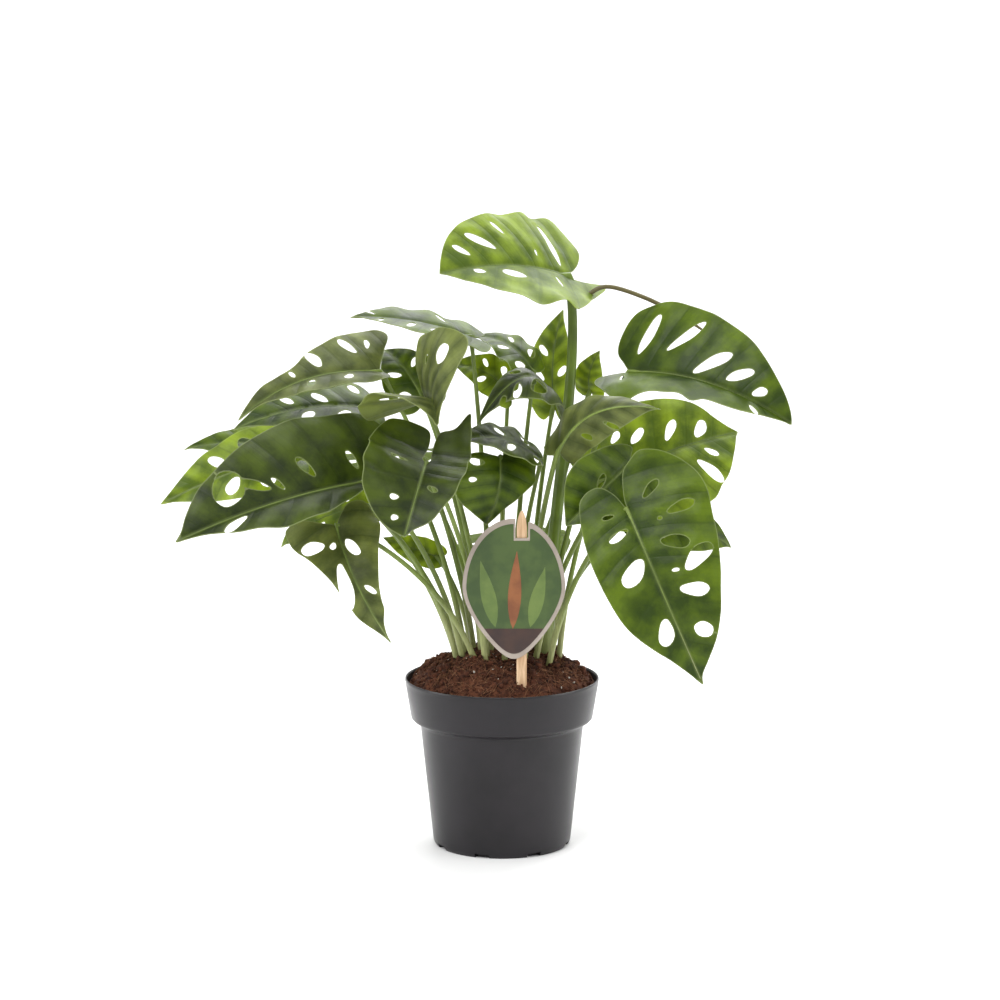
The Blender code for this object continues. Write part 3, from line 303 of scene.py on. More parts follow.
             (0.13, -0.13, 0.17, -0.24, 0.05), (0.14, 0.14, 0.295, 0.39, 0.075),
             (0.53, 0.17, 0.62, 0.38, 0.04))),
    Leaf("leaf_low_left_back", (-82, -10, 214), (-137, 4, 186), (0.1, -0.6, 0.75), 20, 20, (-28, -3),
         tone="bright", holes=FEW_HOLES),
    Leaf("leaf_low_small", (-40, 13, 178), (-74, 14, 190), (0, -1, 0.15), 9, 9, (-19, 15.5), tone="bright",
         arch=2, holes=()),
    Leaf("leaf_centre_low", (-1, -27, 247), (-9, -37, 206), (0, -0.6, -0.8), 24, 24, (2, -14.5),
         edge_left=((-0.08, 0.2), (-0.12, 0.5), (-0.09, 0.85), (0.0, 0.98), (0.12, 0.99), (0.27, 0.93),
             (0.4, 0.75), (0.55, 0.52), (0.72, 0.27), (0.88, 0.1)),
         edge_right=((0.0, 0.3), (0.01, 0.6), (0.06, 0.85), (0.2, 1.0), (0.37, 1.08), (0.58, 1.15),
             (0.74, 1.0), (0.86, 0.6), (0.94, 0.25)),
         holes=((0.15, -0.5, 0.17, -0.9, 0.1), (0.4, -0.66, 0.44, -0.88, 0.07))),
    Leaf("leaf_centre_brown", (24, -16, 243), (-28, -38, 259), (0.1, -0.35, 0.93), 24, 19, (5.5, -5),
         tone="deep", lobe_right=0.05, full_right=0.8, holes=FEW_HOLES,
         edge_left=((0.02, 0.3), (0.08, 0.6), (0.2, 0.85), (0.38, 0.97), (0.55, 0.85), (0.7, 0.66),
             (0.82, 0.44), (0.92, 0.2))),
    Leaf("leaf_back_left", (-60, 68, 236), (-106, 122, 196), (-0.4, 0.7, 0.6), 38, 36, (-12, 27)),
    Leaf("leaf_back_right", (52, 72, 236), (108, 122, 188), (0.5, 0.65, 0.6), 38, 36, (10.5, 29)),
    Leaf("leaf_back_middle", (4, 84, 178), (16, 142, 126), (0, 0.8, 0.6), 36, 38, (-0.5, 29.5),
         holes=FEW_HOLES),
)


def link(name, data, *materials):
    """A new object in the scene from its data, with its materials."""
    thing = bpy.data.objects.new(name, data)
    bpy.context.scene.collection.objects.link(thing)
    for material in materials:
        data.materials.append(material)
    return thing


def piece(thing, slot, *nodes):
    """Attach a finished piece to the body it rides on and hide the nodes it stands for; its slot is not
    used.
    """
    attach(thing, BODY)
    if nodes:
        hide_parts(*nodes)
    return thing


def mesh_from(name, points, faces):
    """A smooth-shaded mesh from points in mm."""
    mesh = bpy.data.meshes.new(name)
    mesh.from_pydata([tuple(c * MM for c in p) for p in points], [], faces)
    mesh.validate()
    mesh.shade_smooth()
    return mesh


def applied(thing):
    """A new mesh of an object as its modifiers leave it."""
    graph = bpy.context.evaluated_depsgraph_get()
    return bpy.data.meshes.new_from_object(thing.evaluated_get(graph))


def around(radius, turn):
    """The flat point at a radius and a turn, about a middle of its own."""
    return radius * math.cos(turn), radius * math.sin(turn)


def ring_pairs(rings, sides, first=0):
    """The numbers of every two neighbours round each ring of a net but the last ring."""
    for start in range(first, first + (rings - 1) * sides, sides):
        for side in range(sides):
            yield start + side, start + (side + 1) % sides


class Nodes:
    """A short way to write a material's node tree."""

    def __init__(self, name):
        self.material = bpy.data.materials.new(name)
        self.material.use_nodes = True
        self.tree = self.material.node_tree
        self.tree.nodes.clear()
        self.output = self.tree.nodes.new("ShaderNodeOutputMaterial")

    def put(self, socket, value):
        if isinstance(value, bpy.types.NodeSocket):
            self.tree.links.new(value, socket)
        elif isinstance(value, tuple) and socket.type == "RGBA":
            socket.default_value = (*value, 1.0)
        else:
            socket.default_value = value

    def add(self, kind, **inputs):
        node = self.tree.nodes.new("ShaderNode" + kind)
        for key, value in inputs.items():
            self.put(node.inputs[key.replace("_", " ")], value)
        return node

    def math(self, operation, first, second=0.0, clamp=False):
        node = self.add("Math")
        node.operation = operation
        node.use_clamp = clamp
        self.put(node.inputs[0], first)
        self.put(node.inputs[1], second)
        return node.outputs[0]

    def from_whole(self, value):
        return self.math("ABSOLUTE", self.math("SUBTRACT", value, self.math("ROUND", value)))

    def ramp(self, value, low, high, out_low=0.0, out_high=1.0):
        node = self.add("MapRange", Value=value, From_Min=low, From_Max=high,
                        To_Min=out_low, To_Max=out_high)
        node.interpolation_type = "SMOOTHSTEP"
        return node.outputs[0]

    def mix(self, factor, first, second, strength=1.0):
        if strength < 1.0:
            factor = self.math("MULTIPLY", factor, strength)
        node = self.add("Mix")
        node.data_type = "RGBA"
        for index, value in ((0, factor), (6, first), (7, second)):
            self.put(node.inputs[index], value)
        return node.outputs[2]

    def noise(self, vector, scale, detail, rough):
        node = self.add("TexNoise", Vector=vector, Scale=scale, Detail=detail, Roughness=rough)
        return node.outputs["Fac"]

    def place(self):
        return self.add("TexCoord").outputs["Object"]

    def stretched(self, vector, upright):
        return self.add("Mapping", Vector=vector, Scale=(1.0, 1.0, upright)).outputs[0]

    def uv(self, name):
        node = self.add("UVMap")
        node.uv_map = name
        return node.outputs["UV"]

    def bump(self, height, strength, distance):
        return self.add("Bump", Strength=strength, Distance=distance, Height=height).outputs["Normal"]

    def skin(self, colour, rough, specular=0.5, **more):
        return self.add("BsdfPrincipled", Base_Color=colour, Roughness=rough,
                        Specular_IOR_Level=specular, **more).outputs[0]

    def finish(self, surface):
        self.put(self.output.inputs["Surface"], surface)
        return self.material


# The leaves' tones, lighter or darker with the light each leaf gets: a dark green with painted shade, the
# usual green, a backlit young green with painted backlight, and a pale grey-green with painted sheen.
# Each has its deep colour, light colour, glow through the blade and share of light let through.
LEAF_TONES = {
    "deep": ((0.017, 0.03, 0.003), (0.063, 0.095, 0.006), (0.26, 0.32, 0.01), 0.34),
    "mid": ((0.027, 0.055, 0.003), (0.105, 0.165, 0.007), (0.36, 0.44, 0.01), 0.4),
    "bright": ((0.075, 0.13, 0.012), (0.24, 0.33, 0.03), (0.6, 0.7, 0.05), 0.46),
    "pale": ((0.065, 0.085, 0.022), (0.19, 0.225, 0.068), (0.42, 0.46, 0.07), 0.4),
}


def times(colour, factor):
    """A colour made lighter or darker."""
    return tuple(c * factor for c in colour)


def leaf_material(tone, under):
    """Blade material. Its maps hold the vein count and the share across, the flat place in mm, and the
    distances in mm from the nearest rim and from the midrib.
    """
    deep, light, glow, through = LEAF_TONES[tone]
    nodes = Nodes(f"leaf_{'under' if under else 'upper'}_{tone}")
    count, across, _ = nodes.add("SeparateXYZ", Vector=nodes.uv("veins")).outputs
    from_rim, from_midrib, _ = nodes.add("SeparateXYZ", Vector=nodes.uv("edge")).outputs
    flat = nodes.uv("flat")
    off = nodes.from_whole(count)
    lateral = nodes.ramp(off, 0.012, 0.055, 1.0, 0.0)
    thin = nodes.ramp(nodes.from_whole(nodes.math("MULTIPLY", count, 5.0)), 0.05, 0.2, 0.25, 0.0)
    veins = nodes.math("MAXIMUM", lateral, thin)
    midrib = nodes.ramp(from_midrib, 0.5, 1.6, 1.0, 0.0)
    rim = nodes.ramp(from_rim, 0.25, 0.75, 1.0, 0.0)
    mottle = nodes.ramp(nodes.noise(flat, 0.06, 4.0, 0.6), 0.35, 0.7, -0.25, 0.35)
    grain = nodes.noise(flat, 0.9, 2.0, 0.5)
    # Painted shade: the colour is darker close to the veins, as shade in their sunk grooves.
    vein_groove_shading = nodes.ramp(off, 0.02, 0.5, 0.0, 0.5)
    outward = nodes.ramp(nodes.math("ABSOLUTE", across), 0.05, 0.95, 0.0, 0.55)
    speckle = nodes.math("MULTIPLY", nodes.math("SUBTRACT", grain, 0.5), 0.25)
    lightness = nodes.math("ADD", nodes.math("ADD", vein_groove_shading, outward), mottle)
    lightness = nodes.math("ADD", lightness, speckle, clamp=True)
    colour = nodes.mix(lightness, deep, light)
    if under:
        pale = tuple(0.45 * a + 0.55 * b for a, b in zip(light, (0.22, 0.29, 0.085)))
        colour = nodes.mix(0.62, colour, pale)
        colour = nodes.mix(veins, colour, (0.31, 0.38, 0.15), 0.5)
        colour = nodes.mix(midrib, colour, (0.38, 0.44, 0.2), 0.8)
    else:
        # Painted shade: the upper side is darkened along its sunk veins.
        colour = nodes.mix(veins, colour, deep, 0.35)
        colour = nodes.mix(midrib, colour, (0.15, 0.2, 0.06), 0.55)
    # A pale line along the margin and the holes' rims: partly the margin's own paler colour, partly a
    # painted highlight.
    colour = nodes.mix(rim, colour, (0.34, 0.4, 0.16), 0.5)
    dim_glow = times(glow, 0.45)
    shine = nodes.mix(veins, nodes.mix(lightness, dim_glow, glow), dim_glow, 0.4)
    height = nodes.math("ADD", nodes.math("MULTIPLY", veins, -0.6), nodes.math("MULTIPLY", grain, 0.3))
    normal = nodes.bump(height, 0.35, 0.0004)
    rough = nodes.ramp(grain, 0.2, 0.8, 0.5 if under else 0.33, 0.66 if under else 0.47)
    blend = nodes.add("MixShader", Fac=through)
    nodes.put(blend.inputs[1], nodes.skin(colour, rough, 0.3 if under else 0.32, Normal=normal))
    nodes.put(blend.inputs[2], nodes.add("BsdfTranslucent", Color=shine, Normal=normal).outputs[0])
    return nodes.finish(blend.outputs[0])


def petiole_material(name, green, pale):
    """Petiole skin: green, paler near the soil, with fine upright streaks."""
    nodes = Nodes(name)
    place = nodes.place()
    height = nodes.add("SeparateXYZ", Vector=place).outputs[2]
    streak = nodes.noise(nodes.stretched(place, 0.08), 900.0, 3.0, 0.6)
    blotch = nodes.noise(place, 60.0, 2.0, 0.5)
    low = nodes.ramp(height, 0.118, 0.175, 1.0, 0.0)
    colour = nodes.mix(nodes.ramp(blotch, 0.3, 0.7), green, times(green, 1.5))
    colour = nodes.mix(low, colour, pale, 0.75)
    colour = nodes.mix(nodes.ramp(streak, 0.35, 0.75, 0.0, 0.35), colour, times(green, 0.6))
    rough = nodes.ramp(streak, 0.2, 0.8, 0.32, 0.5)
    return nodes.finish(nodes.skin(colour, rough, 0.35, Normal=nodes.bump(streak, 0.25, 0.0003)))


def soil_material(name, dark, warm, scale, rough=0.95):
    """Coir and peat: dark and reddish crumbs."""
    nodes = Nodes(name)
    place = nodes.place()
    coarse = nodes.noise(place, scale, 5.0, 0.7)
    fine = nodes.noise(place, scale * 6.0, 3.0, 0.6)
    colour = nodes.mix(nodes.ramp(coarse, 0.35, 0.65), dark, warm)
    colour = nodes.mix(nodes.ramp(fine, 0.45, 0.75, 0.0, 0.6), colour, times(dark, 0.35))
    return nodes.finish(nodes.skin(colour, rough, 0.25, Normal=nodes.bump(fine, 0.8, 0.0012)))


def pot_material():
    """Charcoal moulded plastic with a fine grain and a cloudy, faintly ringed gloss."""
    nodes = Nodes("pot_plastic")
    place = nodes.place()
    grain = nodes.noise(place, 1400.0, 3.0, 0.6)
    cloud = nodes.noise(place, 24.0, 4.0, 0.6)
    rings = nodes.noise(nodes.stretched(place, 14.0), 30.0, 2.0, 0.5)
    colour = nodes.mix(nodes.ramp(cloud, 0.3, 0.7), (0.009, 0.008, 0.0095), (0.014, 0.012, 0.0145))
    cloudy = nodes.ramp(cloud, 0.25, 0.75, 0.27, 0.38)
    rough = nodes.math("ADD", cloudy, nodes.ramp(rings, 0.3, 0.7, -0.008, 0.008))
    return nodes.finish(nodes.skin(colour, rough, 0.32, Normal=nodes.bump(grain, 0.22, 0.0002)))


def wood_material():
    """Pale stick wood with grain along its length."""
    nodes = Nodes("pale_wood")
    place = nodes.place()
    grain = nodes.noise(nodes.stretched(place, 0.06), 1100.0, 4.0, 0.6)
    tint = nodes.noise(place, 40.0, 2.0, 0.5)
    colour = nodes.mix(nodes.ramp(grain, 0.35, 0.7), (0.42, 0.25, 0.13), (0.72, 0.52, 0.33))
    colour = nodes.mix(nodes.ramp(tint, 0.3, 0.7, 0.0, 0.3), colour, (0.62, 0.4, 0.22))
    return nodes.finish(nodes.skin(colour, 0.62, Normal=nodes.bump(grain, 0.4, 0.0003)))


def print_material(name, colour, second):
    """Printed card: a colour with a soft second tone and a satin lacquer."""
    nodes = Nodes(name)
    place = nodes.place()
    cloud = nodes.noise(place, 70.0, 3.0, 0.6)
    fibre = nodes.noise(place, 2500.0, 2.0, 0.5)
    tone = nodes.mix(nodes.ramp(cloud, 0.35, 0.65), colour, second)
    rough = nodes.ramp(fibre, 0.3, 0.7, 0.32, 0.42)
    return nodes.finish(nodes.skin(tone, rough, Normal=nodes.bump(fibre, 0.08, 0.0001)))


def floor_material():
    """Plain pale studio floor."""
    nodes = Nodes("floor")
    cloud = nodes.noise(nodes.place(), 3.0, 2.0, 0.5)
    return nodes.finish(nodes.skin(nodes.mix(cloud, (0.86, 0.86, 0.86), (0.9, 0.9, 0.9)), 0.7, 0.2))


def blade_axes(leaf):
    """The blade's straight frame: base, run to the tip, left and up directions."""
    base = Vector(leaf.base)
    run = Vector(leaf.tip) - base
    along = run.normalized()
    face = Vector(leaf.face)
    up = (face - along * face.dot(along)).normalized()
    return base, run, up.cross(along), up


def bent(distance, fold, curl, width):
    """How far across and up points lie that are this far from the midrib on a folded, curled half."""
    start = math.radians(fold)
    rate = math.radians(curl) / width
    if abs(rate) < 1e-6:
        return distance * math.cos(start), distance * math.sin(start)
    end = start + rate * distance
    return (np.sin(end) - math.sin(start)) / rate, (math.cos(start) - np.cos(end)) / rate


def bulge(place):
    """How far the midrib bows at places: nothing at base and tip, and levelling off in the lobes."""
    behind = np.where(place > -1 / 3, 4 * place + 6 * place ** 2, -2 / 3)
    return np.where(place > 0, 4 * place * (1 - place), behind)


def blade_points(leaf, place, across):
    """Points of the blade in mm, from arrays of places along the midrib and shares across."""
    base, run, left, up = (np.array(v) for v in blade_axes(leaf))
    place = np.asarray(place, float)
    across = np.asarray(across, float)
    turn = np.radians(leaf.twist) * place
    side_way = np.outer(np.cos(turn), left) + np.outer(np.sin(turn), up)
    up_way = np.outer(np.cos(turn), up) - np.outer(np.sin(turn), left)
    middle = base + np.outer(place, run) + np.outer(bulge(place), leaf.arch * up + leaf.sway * left)
    to_left = np.clip(across, 0, None) * leaf.left
    to_right = np.clip(-across, 0, None) * leaf.right
    out_l, rise_l = bent(to_left, leaf.fold_left, leaf.curl_left, leaf.left)
    out_r, rise_r = bent(to_right, leaf.fold_right, leaf.curl_right, leaf.right)
    return middle + side_way * (out_l - out_r)[:, None] + up_way * (rise_l + rise_r)[:, None]


def catmull(p0, p1, p2, p3, t):
    """The point at t between the middle two of four points, on a Catmull-Rom curve through them."""
    return 0.5 * (2 * p1 + (p2 - p0) * t + (2 * p0 - 5 * p1 + 4 * p2 - p3) * t * t
                  + (3 * p1 - p0 - 3 * p2 + p3) * t ** 3)


def smooth_line(points, step):
    """Points along a Catmull-Rom curve through the given flat points, about a step apart."""
    line = []
    padded = [points[0] * 2 - points[1]] + points + [points[-1] * 2 - points[-2]]
    for four in zip(padded, padded[1:], padded[2:], padded[3:]):
        count = max(2, round((four[2] - four[1]).length / step))
        line += [catmull(*four, index / count) for index in range(count)]
    line.append(points[-1])
    return line


def half_outline(edge, lobe, full, side, length, width):
    """The smooth margin of one half, from the base to the tip, in flat mm."""
    shape = edge
    if not edge:
        shape = [(place * lobe, share) for place, share in HALF_OUTLINE if place < 0]
        shape += [(place, share ** full) for place, share in HALF_OUTLINE if place > 0]
    points = [Vector((place * length, side * share * width)) for place, share in shape]
    return smooth_line([Vector((0, 0))] + points + [Vector((length, 0))], EDGE_STEP)


def hole_line(hole, leaf, length, draw):
    """The smooth rim of one hole in flat mm, a little wider towards the margin and not quite even."""
    width = leaf.left if hole[1] > 0 else leaf.right
    start = Vector((hole[0] * length, hole[1] * width))
    end = Vector((hole[2] * length, hole[3] * width))
    middle, long_way = (start + end) / 2, (end - start) / 2
    short_way = Vector((-long_way.y, long_way.x)).normalized() * (hole[4] * length / 2)
    lean, wobble = draw.uniform(-0.12, 0.12), draw.uniform(0, math.tau)
    rim = []
    for index in range(HOLE_POINTS):
        turn = math.tau * index / HOLE_POINTS
        c, s = math.cos(turn), math.sin(turn)
        swell = 1 + 0.16 * c + 0.07 * math.sin(3 * turn + wobble)
        rim.append(middle + long_way * (c * (1 + lean * s)) + short_way * (s * swell))
    return rim


def inside(x, y, loop):
    """For arrays of flat points, whether each lies inside a loop."""
    odd = np.zeros(len(x), bool)
    for a, b in zip(loop, loop[1:] + loop[:1]):
        crosses = (a.y > y) != (b.y > y)
        if a.y != b.y:
            odd ^= crosses & (x < (b.x - a.x) * (y - a.y) / (b.y - a.y) + a.x)
    return odd


def vein_shape(place, across):
    """Where the vein through a point leaves the midrib: veins slant more and more towards the tip."""
    share = np.abs(across)
    return (place - 0.04 * share - 0.05 * share ** 2) / (1 + 0.26 * share)


def vein_counter(leaf, side):
    """A function from a vein's start to a count that is whole on a vein and a half on a row of holes."""
    spots = []
    for hole in leaf.holes:
        if hole[1] * side > 0:
            spots.append(float(vein_shape((hole[0] + hole[2]) / 2, (hole[1] + hole[3]) / 2)))
    rows = []
    for spot in sorted(spots):
        if not rows or spot - rows[-1] > 0.1:
            rows.append(spot)
    if len(rows) < 2:
        rows = [0.1, 0.3, 0.5, 0.7]
    rows = [rows[0] - 0.36, rows[0] - 0.18] + rows
    while rows[-1] < 1.1:
        rows.append(rows[-1] + 0.17)
    counts = [index + 0.5 for index in range(len(rows))]
    return lambda start: np.interp(start, rows, counts)


def on_blade(spots, outline, holes):
    """For an array of flat spots, whether each lies within the margin and in no hole."""
    kept = inside(spots[:, 0], spots[:, 1], outline)
    for hole in holes:
        kept &= ~inside(spots[:, 0], spots[:, 1], hole)
    return kept


def tree_of(points):
    """A search tree of flat points."""
    tree = kdtree.KDTree(len(points))
    for index, spot in enumerate(points):
        tree.insert((spot.x, spot.y, 0), index)
    tree.balance()
    return tree


def blade_net(leaf, length, holes):
    """A blade's flat net in mm: points, faces and each point's distance from the nearest rim."""
    left_side = half_outline(leaf.edge_left, leaf.lobe_left, leaf.full_left, 1, length, leaf.left)
    right_side = half_outline(leaf.edge_right, leaf.lobe_right, leaf.full_right, -1, length, leaf.right)
    outline = left_side + list(reversed(right_side))[1:-1]
    points, edges = [], []
    for loop in [outline] + holes:
        first = len(points)
        points += loop
        edges += [(first + i, first + (i + 1) % len(loop)) for i in range(len(loop))]
    rim_points = len(points)
    rib_count = round(length / BLADE_MESH_STEP)
    points += [Vector((length * i / rib_count, 0)) for i in range(1, rib_count)]
    chain = [0] + list(range(rim_points, len(points))) + [len(left_side) - 1]
    edges += list(zip(chain, chain[1:]))
    lines, rims = tree_of(points), tree_of(points[:rim_points])
    low = [min(p[i] for p in outline) for i in (0, 1)]
    high = [max(p[i] for p in outline) for i in (0, 1)]
    row_step = BLADE_MESH_STEP * math.sqrt(3) / 2
    grid = []
    for row in range(int((high[1] - low[1]) / row_step) + 1):
        for col in range(int((high[0] - low[0]) / BLADE_MESH_STEP) + 1):
            grid.append((low[0] + (col + 0.5 * (row % 2)) * BLADE_MESH_STEP, low[1] + row * row_step))
    grid = np.array(grid)
    for x, y in grid[on_blade(grid, outline, holes)]:
        if lines.find((x, y, 0))[2] > 0.6 * BLADE_MESH_STEP:
            points.append(Vector((x, y)))
    spots, _, faces = geometry.delaunay_2d_cdt(points, edges, [], 0, 0.0001)[:3]
    flat = np.array([tuple(spot) for spot in spots])
    kept = on_blade(flat[np.array(faces)].mean(1), outline, holes)
    from_rim = np.array([rims.find((x, y, 0))[2] for x, y in flat])
    return flat, [face for face, keep in zip(faces, kept) if keep], from_rim


def fine_blade(leaf, draw):
    """The blade's upper skin: smooth rims, a sunk midrib, a quilt between the veins and soft waves."""
    length = (Vector(leaf.tip) - Vector(leaf.base)).length
    holes = [hole_line(hole, leaf, length, draw) for hole in leaf.holes]
    phase = draw.uniform(0, math.tau)
    flat, faces, from_rim = blade_net(leaf, length, holes)
    x, y = flat.T
    place, across = x / length, y / np.where(y > 0, leaf.left, leaf.right)
    share = np.abs(across)
    start = vein_shape(place, across)
    left_count, right_count = (vein_counter(leaf, side)(start) for side in (1, -1))
    own = np.where(y >= 0, left_count, right_count)
    off = np.abs(own - np.round(own))
    midrib = np.exp(-(y / 1.5) ** 2)
    quilt = (1 - np.exp(-(off / 0.16) ** 2)) * np.clip(share * 3.2, 0, 1) * np.clip(from_rim / 5.0, 0.15, 1)
    wave = np.sin(place * math.tau * 3.1 + phase + np.where(y > 0, 0, 2.1)) * share ** 3
    rough = np.array([noise.noise(Vector((a / 14 + phase, b / 14, 1.7))) for a, b in flat])
    lift = 0.75 * quilt - 0.8 * midrib + 1.3 * wave + 1.1 * rough * np.clip(share * 2, 0, 1)
    solid = blade_points(leaf, place, across)
    mesh = mesh_from(leaf.name + "_blade", solid, faces)
    normals = np.zeros(len(mesh.vertices) * 3)
    mesh.vertices.foreach_get("normal", normals)
    normals = normals.reshape(-1, 3)
    if normals.mean(0) @ np.array(blade_axes(leaf)[3]) < 0:
        mesh.flip_normals()
        normals = -normals
    mesh.vertices.foreach_set("co", ((solid + normals * lift[:, None]) * MM).ravel())
    corners = np.zeros(len(mesh.loops), np.int32)
    mesh.loops.foreach_get("vertex_index", corners)
    on_left = np.repeat(y[corners.reshape(-1, 3)].sum(1) > 0, 3)
    maps = {
        "veins": (np.where(on_left, left_count[corners], right_count[corners]), across[corners]),
        "flat": (x[corners], y[corners]),
        "edge": (from_rim[corners], np.abs(y[corners])),
    }
    for name, values in maps.items():
        mesh.uv_layers.new(name=name).data.foreach_set("uv", np.column_stack(values).ravel())
    work = bmesh.new()
    work.from_mesh(mesh)
    bmesh.ops.delete(work, geom=[v for v in work.verts if not v.link_faces], context="VERTS")
    work.to_mesh(mesh)
    work.free()
    return mesh


def blade_piece(leaf, draw, materials):
    """The blade as an object, thickened, with its upper and lower skins."""
    mesh = fine_blade(leaf, draw)
    thing = link(leaf.name + "_blade", mesh, *materials)
    thick = thing.modifiers.new("thickness", "SOLIDIFY")
    thick.thickness = BLADE_THICKNESS * MM
    thick.offset = -1
    thick.material_offset = 1
    thick.material_offset_rim = 1
    solid = applied(thing)
    thing.modifiers.clear()
    thing.data = solid
    solid.name = thing.name
    bpy.data.meshes.remove(mesh)
    solid.set_sharp_from_angle(angle=math.radians(60))
    return piece(thing, "leaf", leaf.name)


def soil_height(x, y):
    """Height of the soil's top at a place in mm: a heap with lumps that die out at the pot's wall."""
    share = min(math.hypot(x, y) / SOIL_WALL, 1.0)
    heap = SOIL_EDGE + SOIL_HEAP * (1 - share ** 3.2)
    lumps = noise.noise(Vector((x / 15, y / 15, 0.7))) + 0.5 * noise.noise(Vector((x / 6, y / 6, 3.1)))
    return heap + SOIL_BUMP * lumps * (1 - share ** 6)


def petiole_path(leaf):
    """The petiole's points from its foot to the blade, then under the midrib, each with its radius."""
    x, y = leaf.foot
    surface = Vector((x, y, soil_height(x, y)))
    base = Vector(leaf.base)
    way = base - surface
    lean = Vector((way.x * 0.45, way.y * 0.45, way.z)).normalized()
    low = surface - lean * FOOT_DEPTH
    start = low + lean * (FOOT_DEPTH + FOOT_RISE)
    reach = (base - start).length
    first = start + lean * (reach * 0.4)
    rise = Vector((0, 0, reach * 0.05))
    second = base - (base - first).normalized() * (reach * 0.25) + rise + Vector(leaf.bow)
    foot_radius = leaf.radius * FOOT_SWELL
    path = [(low, foot_radius), (low.lerp(start, 0.5), foot_radius)]
    for step in range(PETIOLE_STEPS + 1):
        t = step / PETIOLE_STEPS
        u = 1 - t
        spot = start * u ** 3 + first * (3 * t * u ** 2) + second * (3 * t * t * u) + base * t ** 3
        neck = math.exp(-((t - 0.965) * reach / NECK_LENGTH) ** 2)
        path.append((spot, leaf.radius * (1.15 - 0.35 * t + 0.3 * neck)))
    length = (Vector(leaf.tip) - base).length
    _, _, left, up = blade_axes(leaf)
    for step in range(1, RIB_STEPS + 1):
        place = 0.03 + 0.93 * step / RIB_STEPS
        radius = PETIOLE_RADIUS * (0.26 + 0.6 * (1 - place) ** 1.2) * min(1.0, length / 90)
        turn = math.radians(leaf.twist) * place
        normal = up * math.cos(turn) - left * math.sin(turn)
        spot = Vector(blade_points(leaf, [place], [0.0])[0]) - normal * (0.75 + radius * 0.8)
        path.append((spot, radius))
    return path


def tube(name, path, material, ridges=0.0):
    """A closed round tube through points with radii; ridges raises two thin wings along one side."""
    points, sides = [], PETIOLE_SIDES
    spots = [spot for spot, _ in path]
    ways = [(b - a).normalized() for a, b in zip(spots, spots[1:])]
    ways = [ways[0]] + [(a + b).normalized() for a, b in zip(ways, ways[1:])] + [ways[-1]]
    across = ways[0].orthogonal().normalized()
    for index, (spot, radius) in enumerate(path):
        if index:
            across = ways[index - 1].rotation_difference(ways[index]) @ across
            across = (across - ways[index] * across.dot(ways[index])).normalized()
        other = ways[index].cross(across)
        fade = ridges * math.exp(-(index / len(path) / 0.35) ** 2)
        for side in range(sides):
            turn = math.tau * side / sides
            wing = fade * sum(math.exp(-((turn - peak) / 0.3) ** 2) for peak in (1.2, 2.3))
            out, up = around(1.0, turn)
            reach = radius * (1 + wing)
            points.append(spot + across * (out * reach) + other * (up * reach))
    faces = [(a, b, b + sides, a + sides) for a, b in ring_pairs(len(path), sides)]
    low, high = len(points), len(points) + 1
    last = low - sides
    points += [spots[0] - ways[0] * path[0][1] * 0.3, spots[-1] + ways[-1] * path[-1][1]]
    for side in range(sides):
        faces.append((low, (side + 1) % sides, side))
        faces.append((high, last + side, last + (side + 1) % sides))
    return link(name, mesh_from(name, points, faces), material)


def smooth_path(route, steps):
    """A finer path through given points with radii."""
    fine = []
    route = [(Vector(spot), radius) for spot, radius in route]
    padded = route[:1] + route + route[-1:]
    for (p0, _), (p1, r1), (p2, r2), (p3, _) in zip(padded, padded[1:], padded[2:], padded[3:]):
        for index in range(steps):
            t = index / steps
            fine.append((catmull(p0, p1, p2, p3, t), r1 + (r2 - r1) * t))
    return fine + route[-1:]


def make_leaves():
    """Every leaf: its blade and its petiole."""
    skins = {tone: (leaf_material(tone, False), leaf_material(tone, True)) for tone in LEAF_TONES}
    stalk = petiole_material("petiole_green", (0.12, 0.165, 0.03), (0.4, 0.41, 0.19))
    stem = petiole_material("stem_green", (0.082, 0.125, 0.012), (0.34, 0.38, 0.16))
    bark = petiole_material("runner_brown", (0.1, 0.085, 0.03), (0.16, 0.13, 0.05))
    for index, leaf in enumerate(LEAVES):
        blade_piece(leaf, random.Random(100 + index), skins[leaf.tone])
        skin = stem if leaf.name == RUNNER_LEAF else stalk
        piece(tube(leaf.name + "_petiole", petiole_path(leaf), skin, ridges=0.35), "leaf", leaf.name)
    piece(tube("runner", smooth_path(RUNNER, 6), bark), "leaf", RUNNER_LEAF)


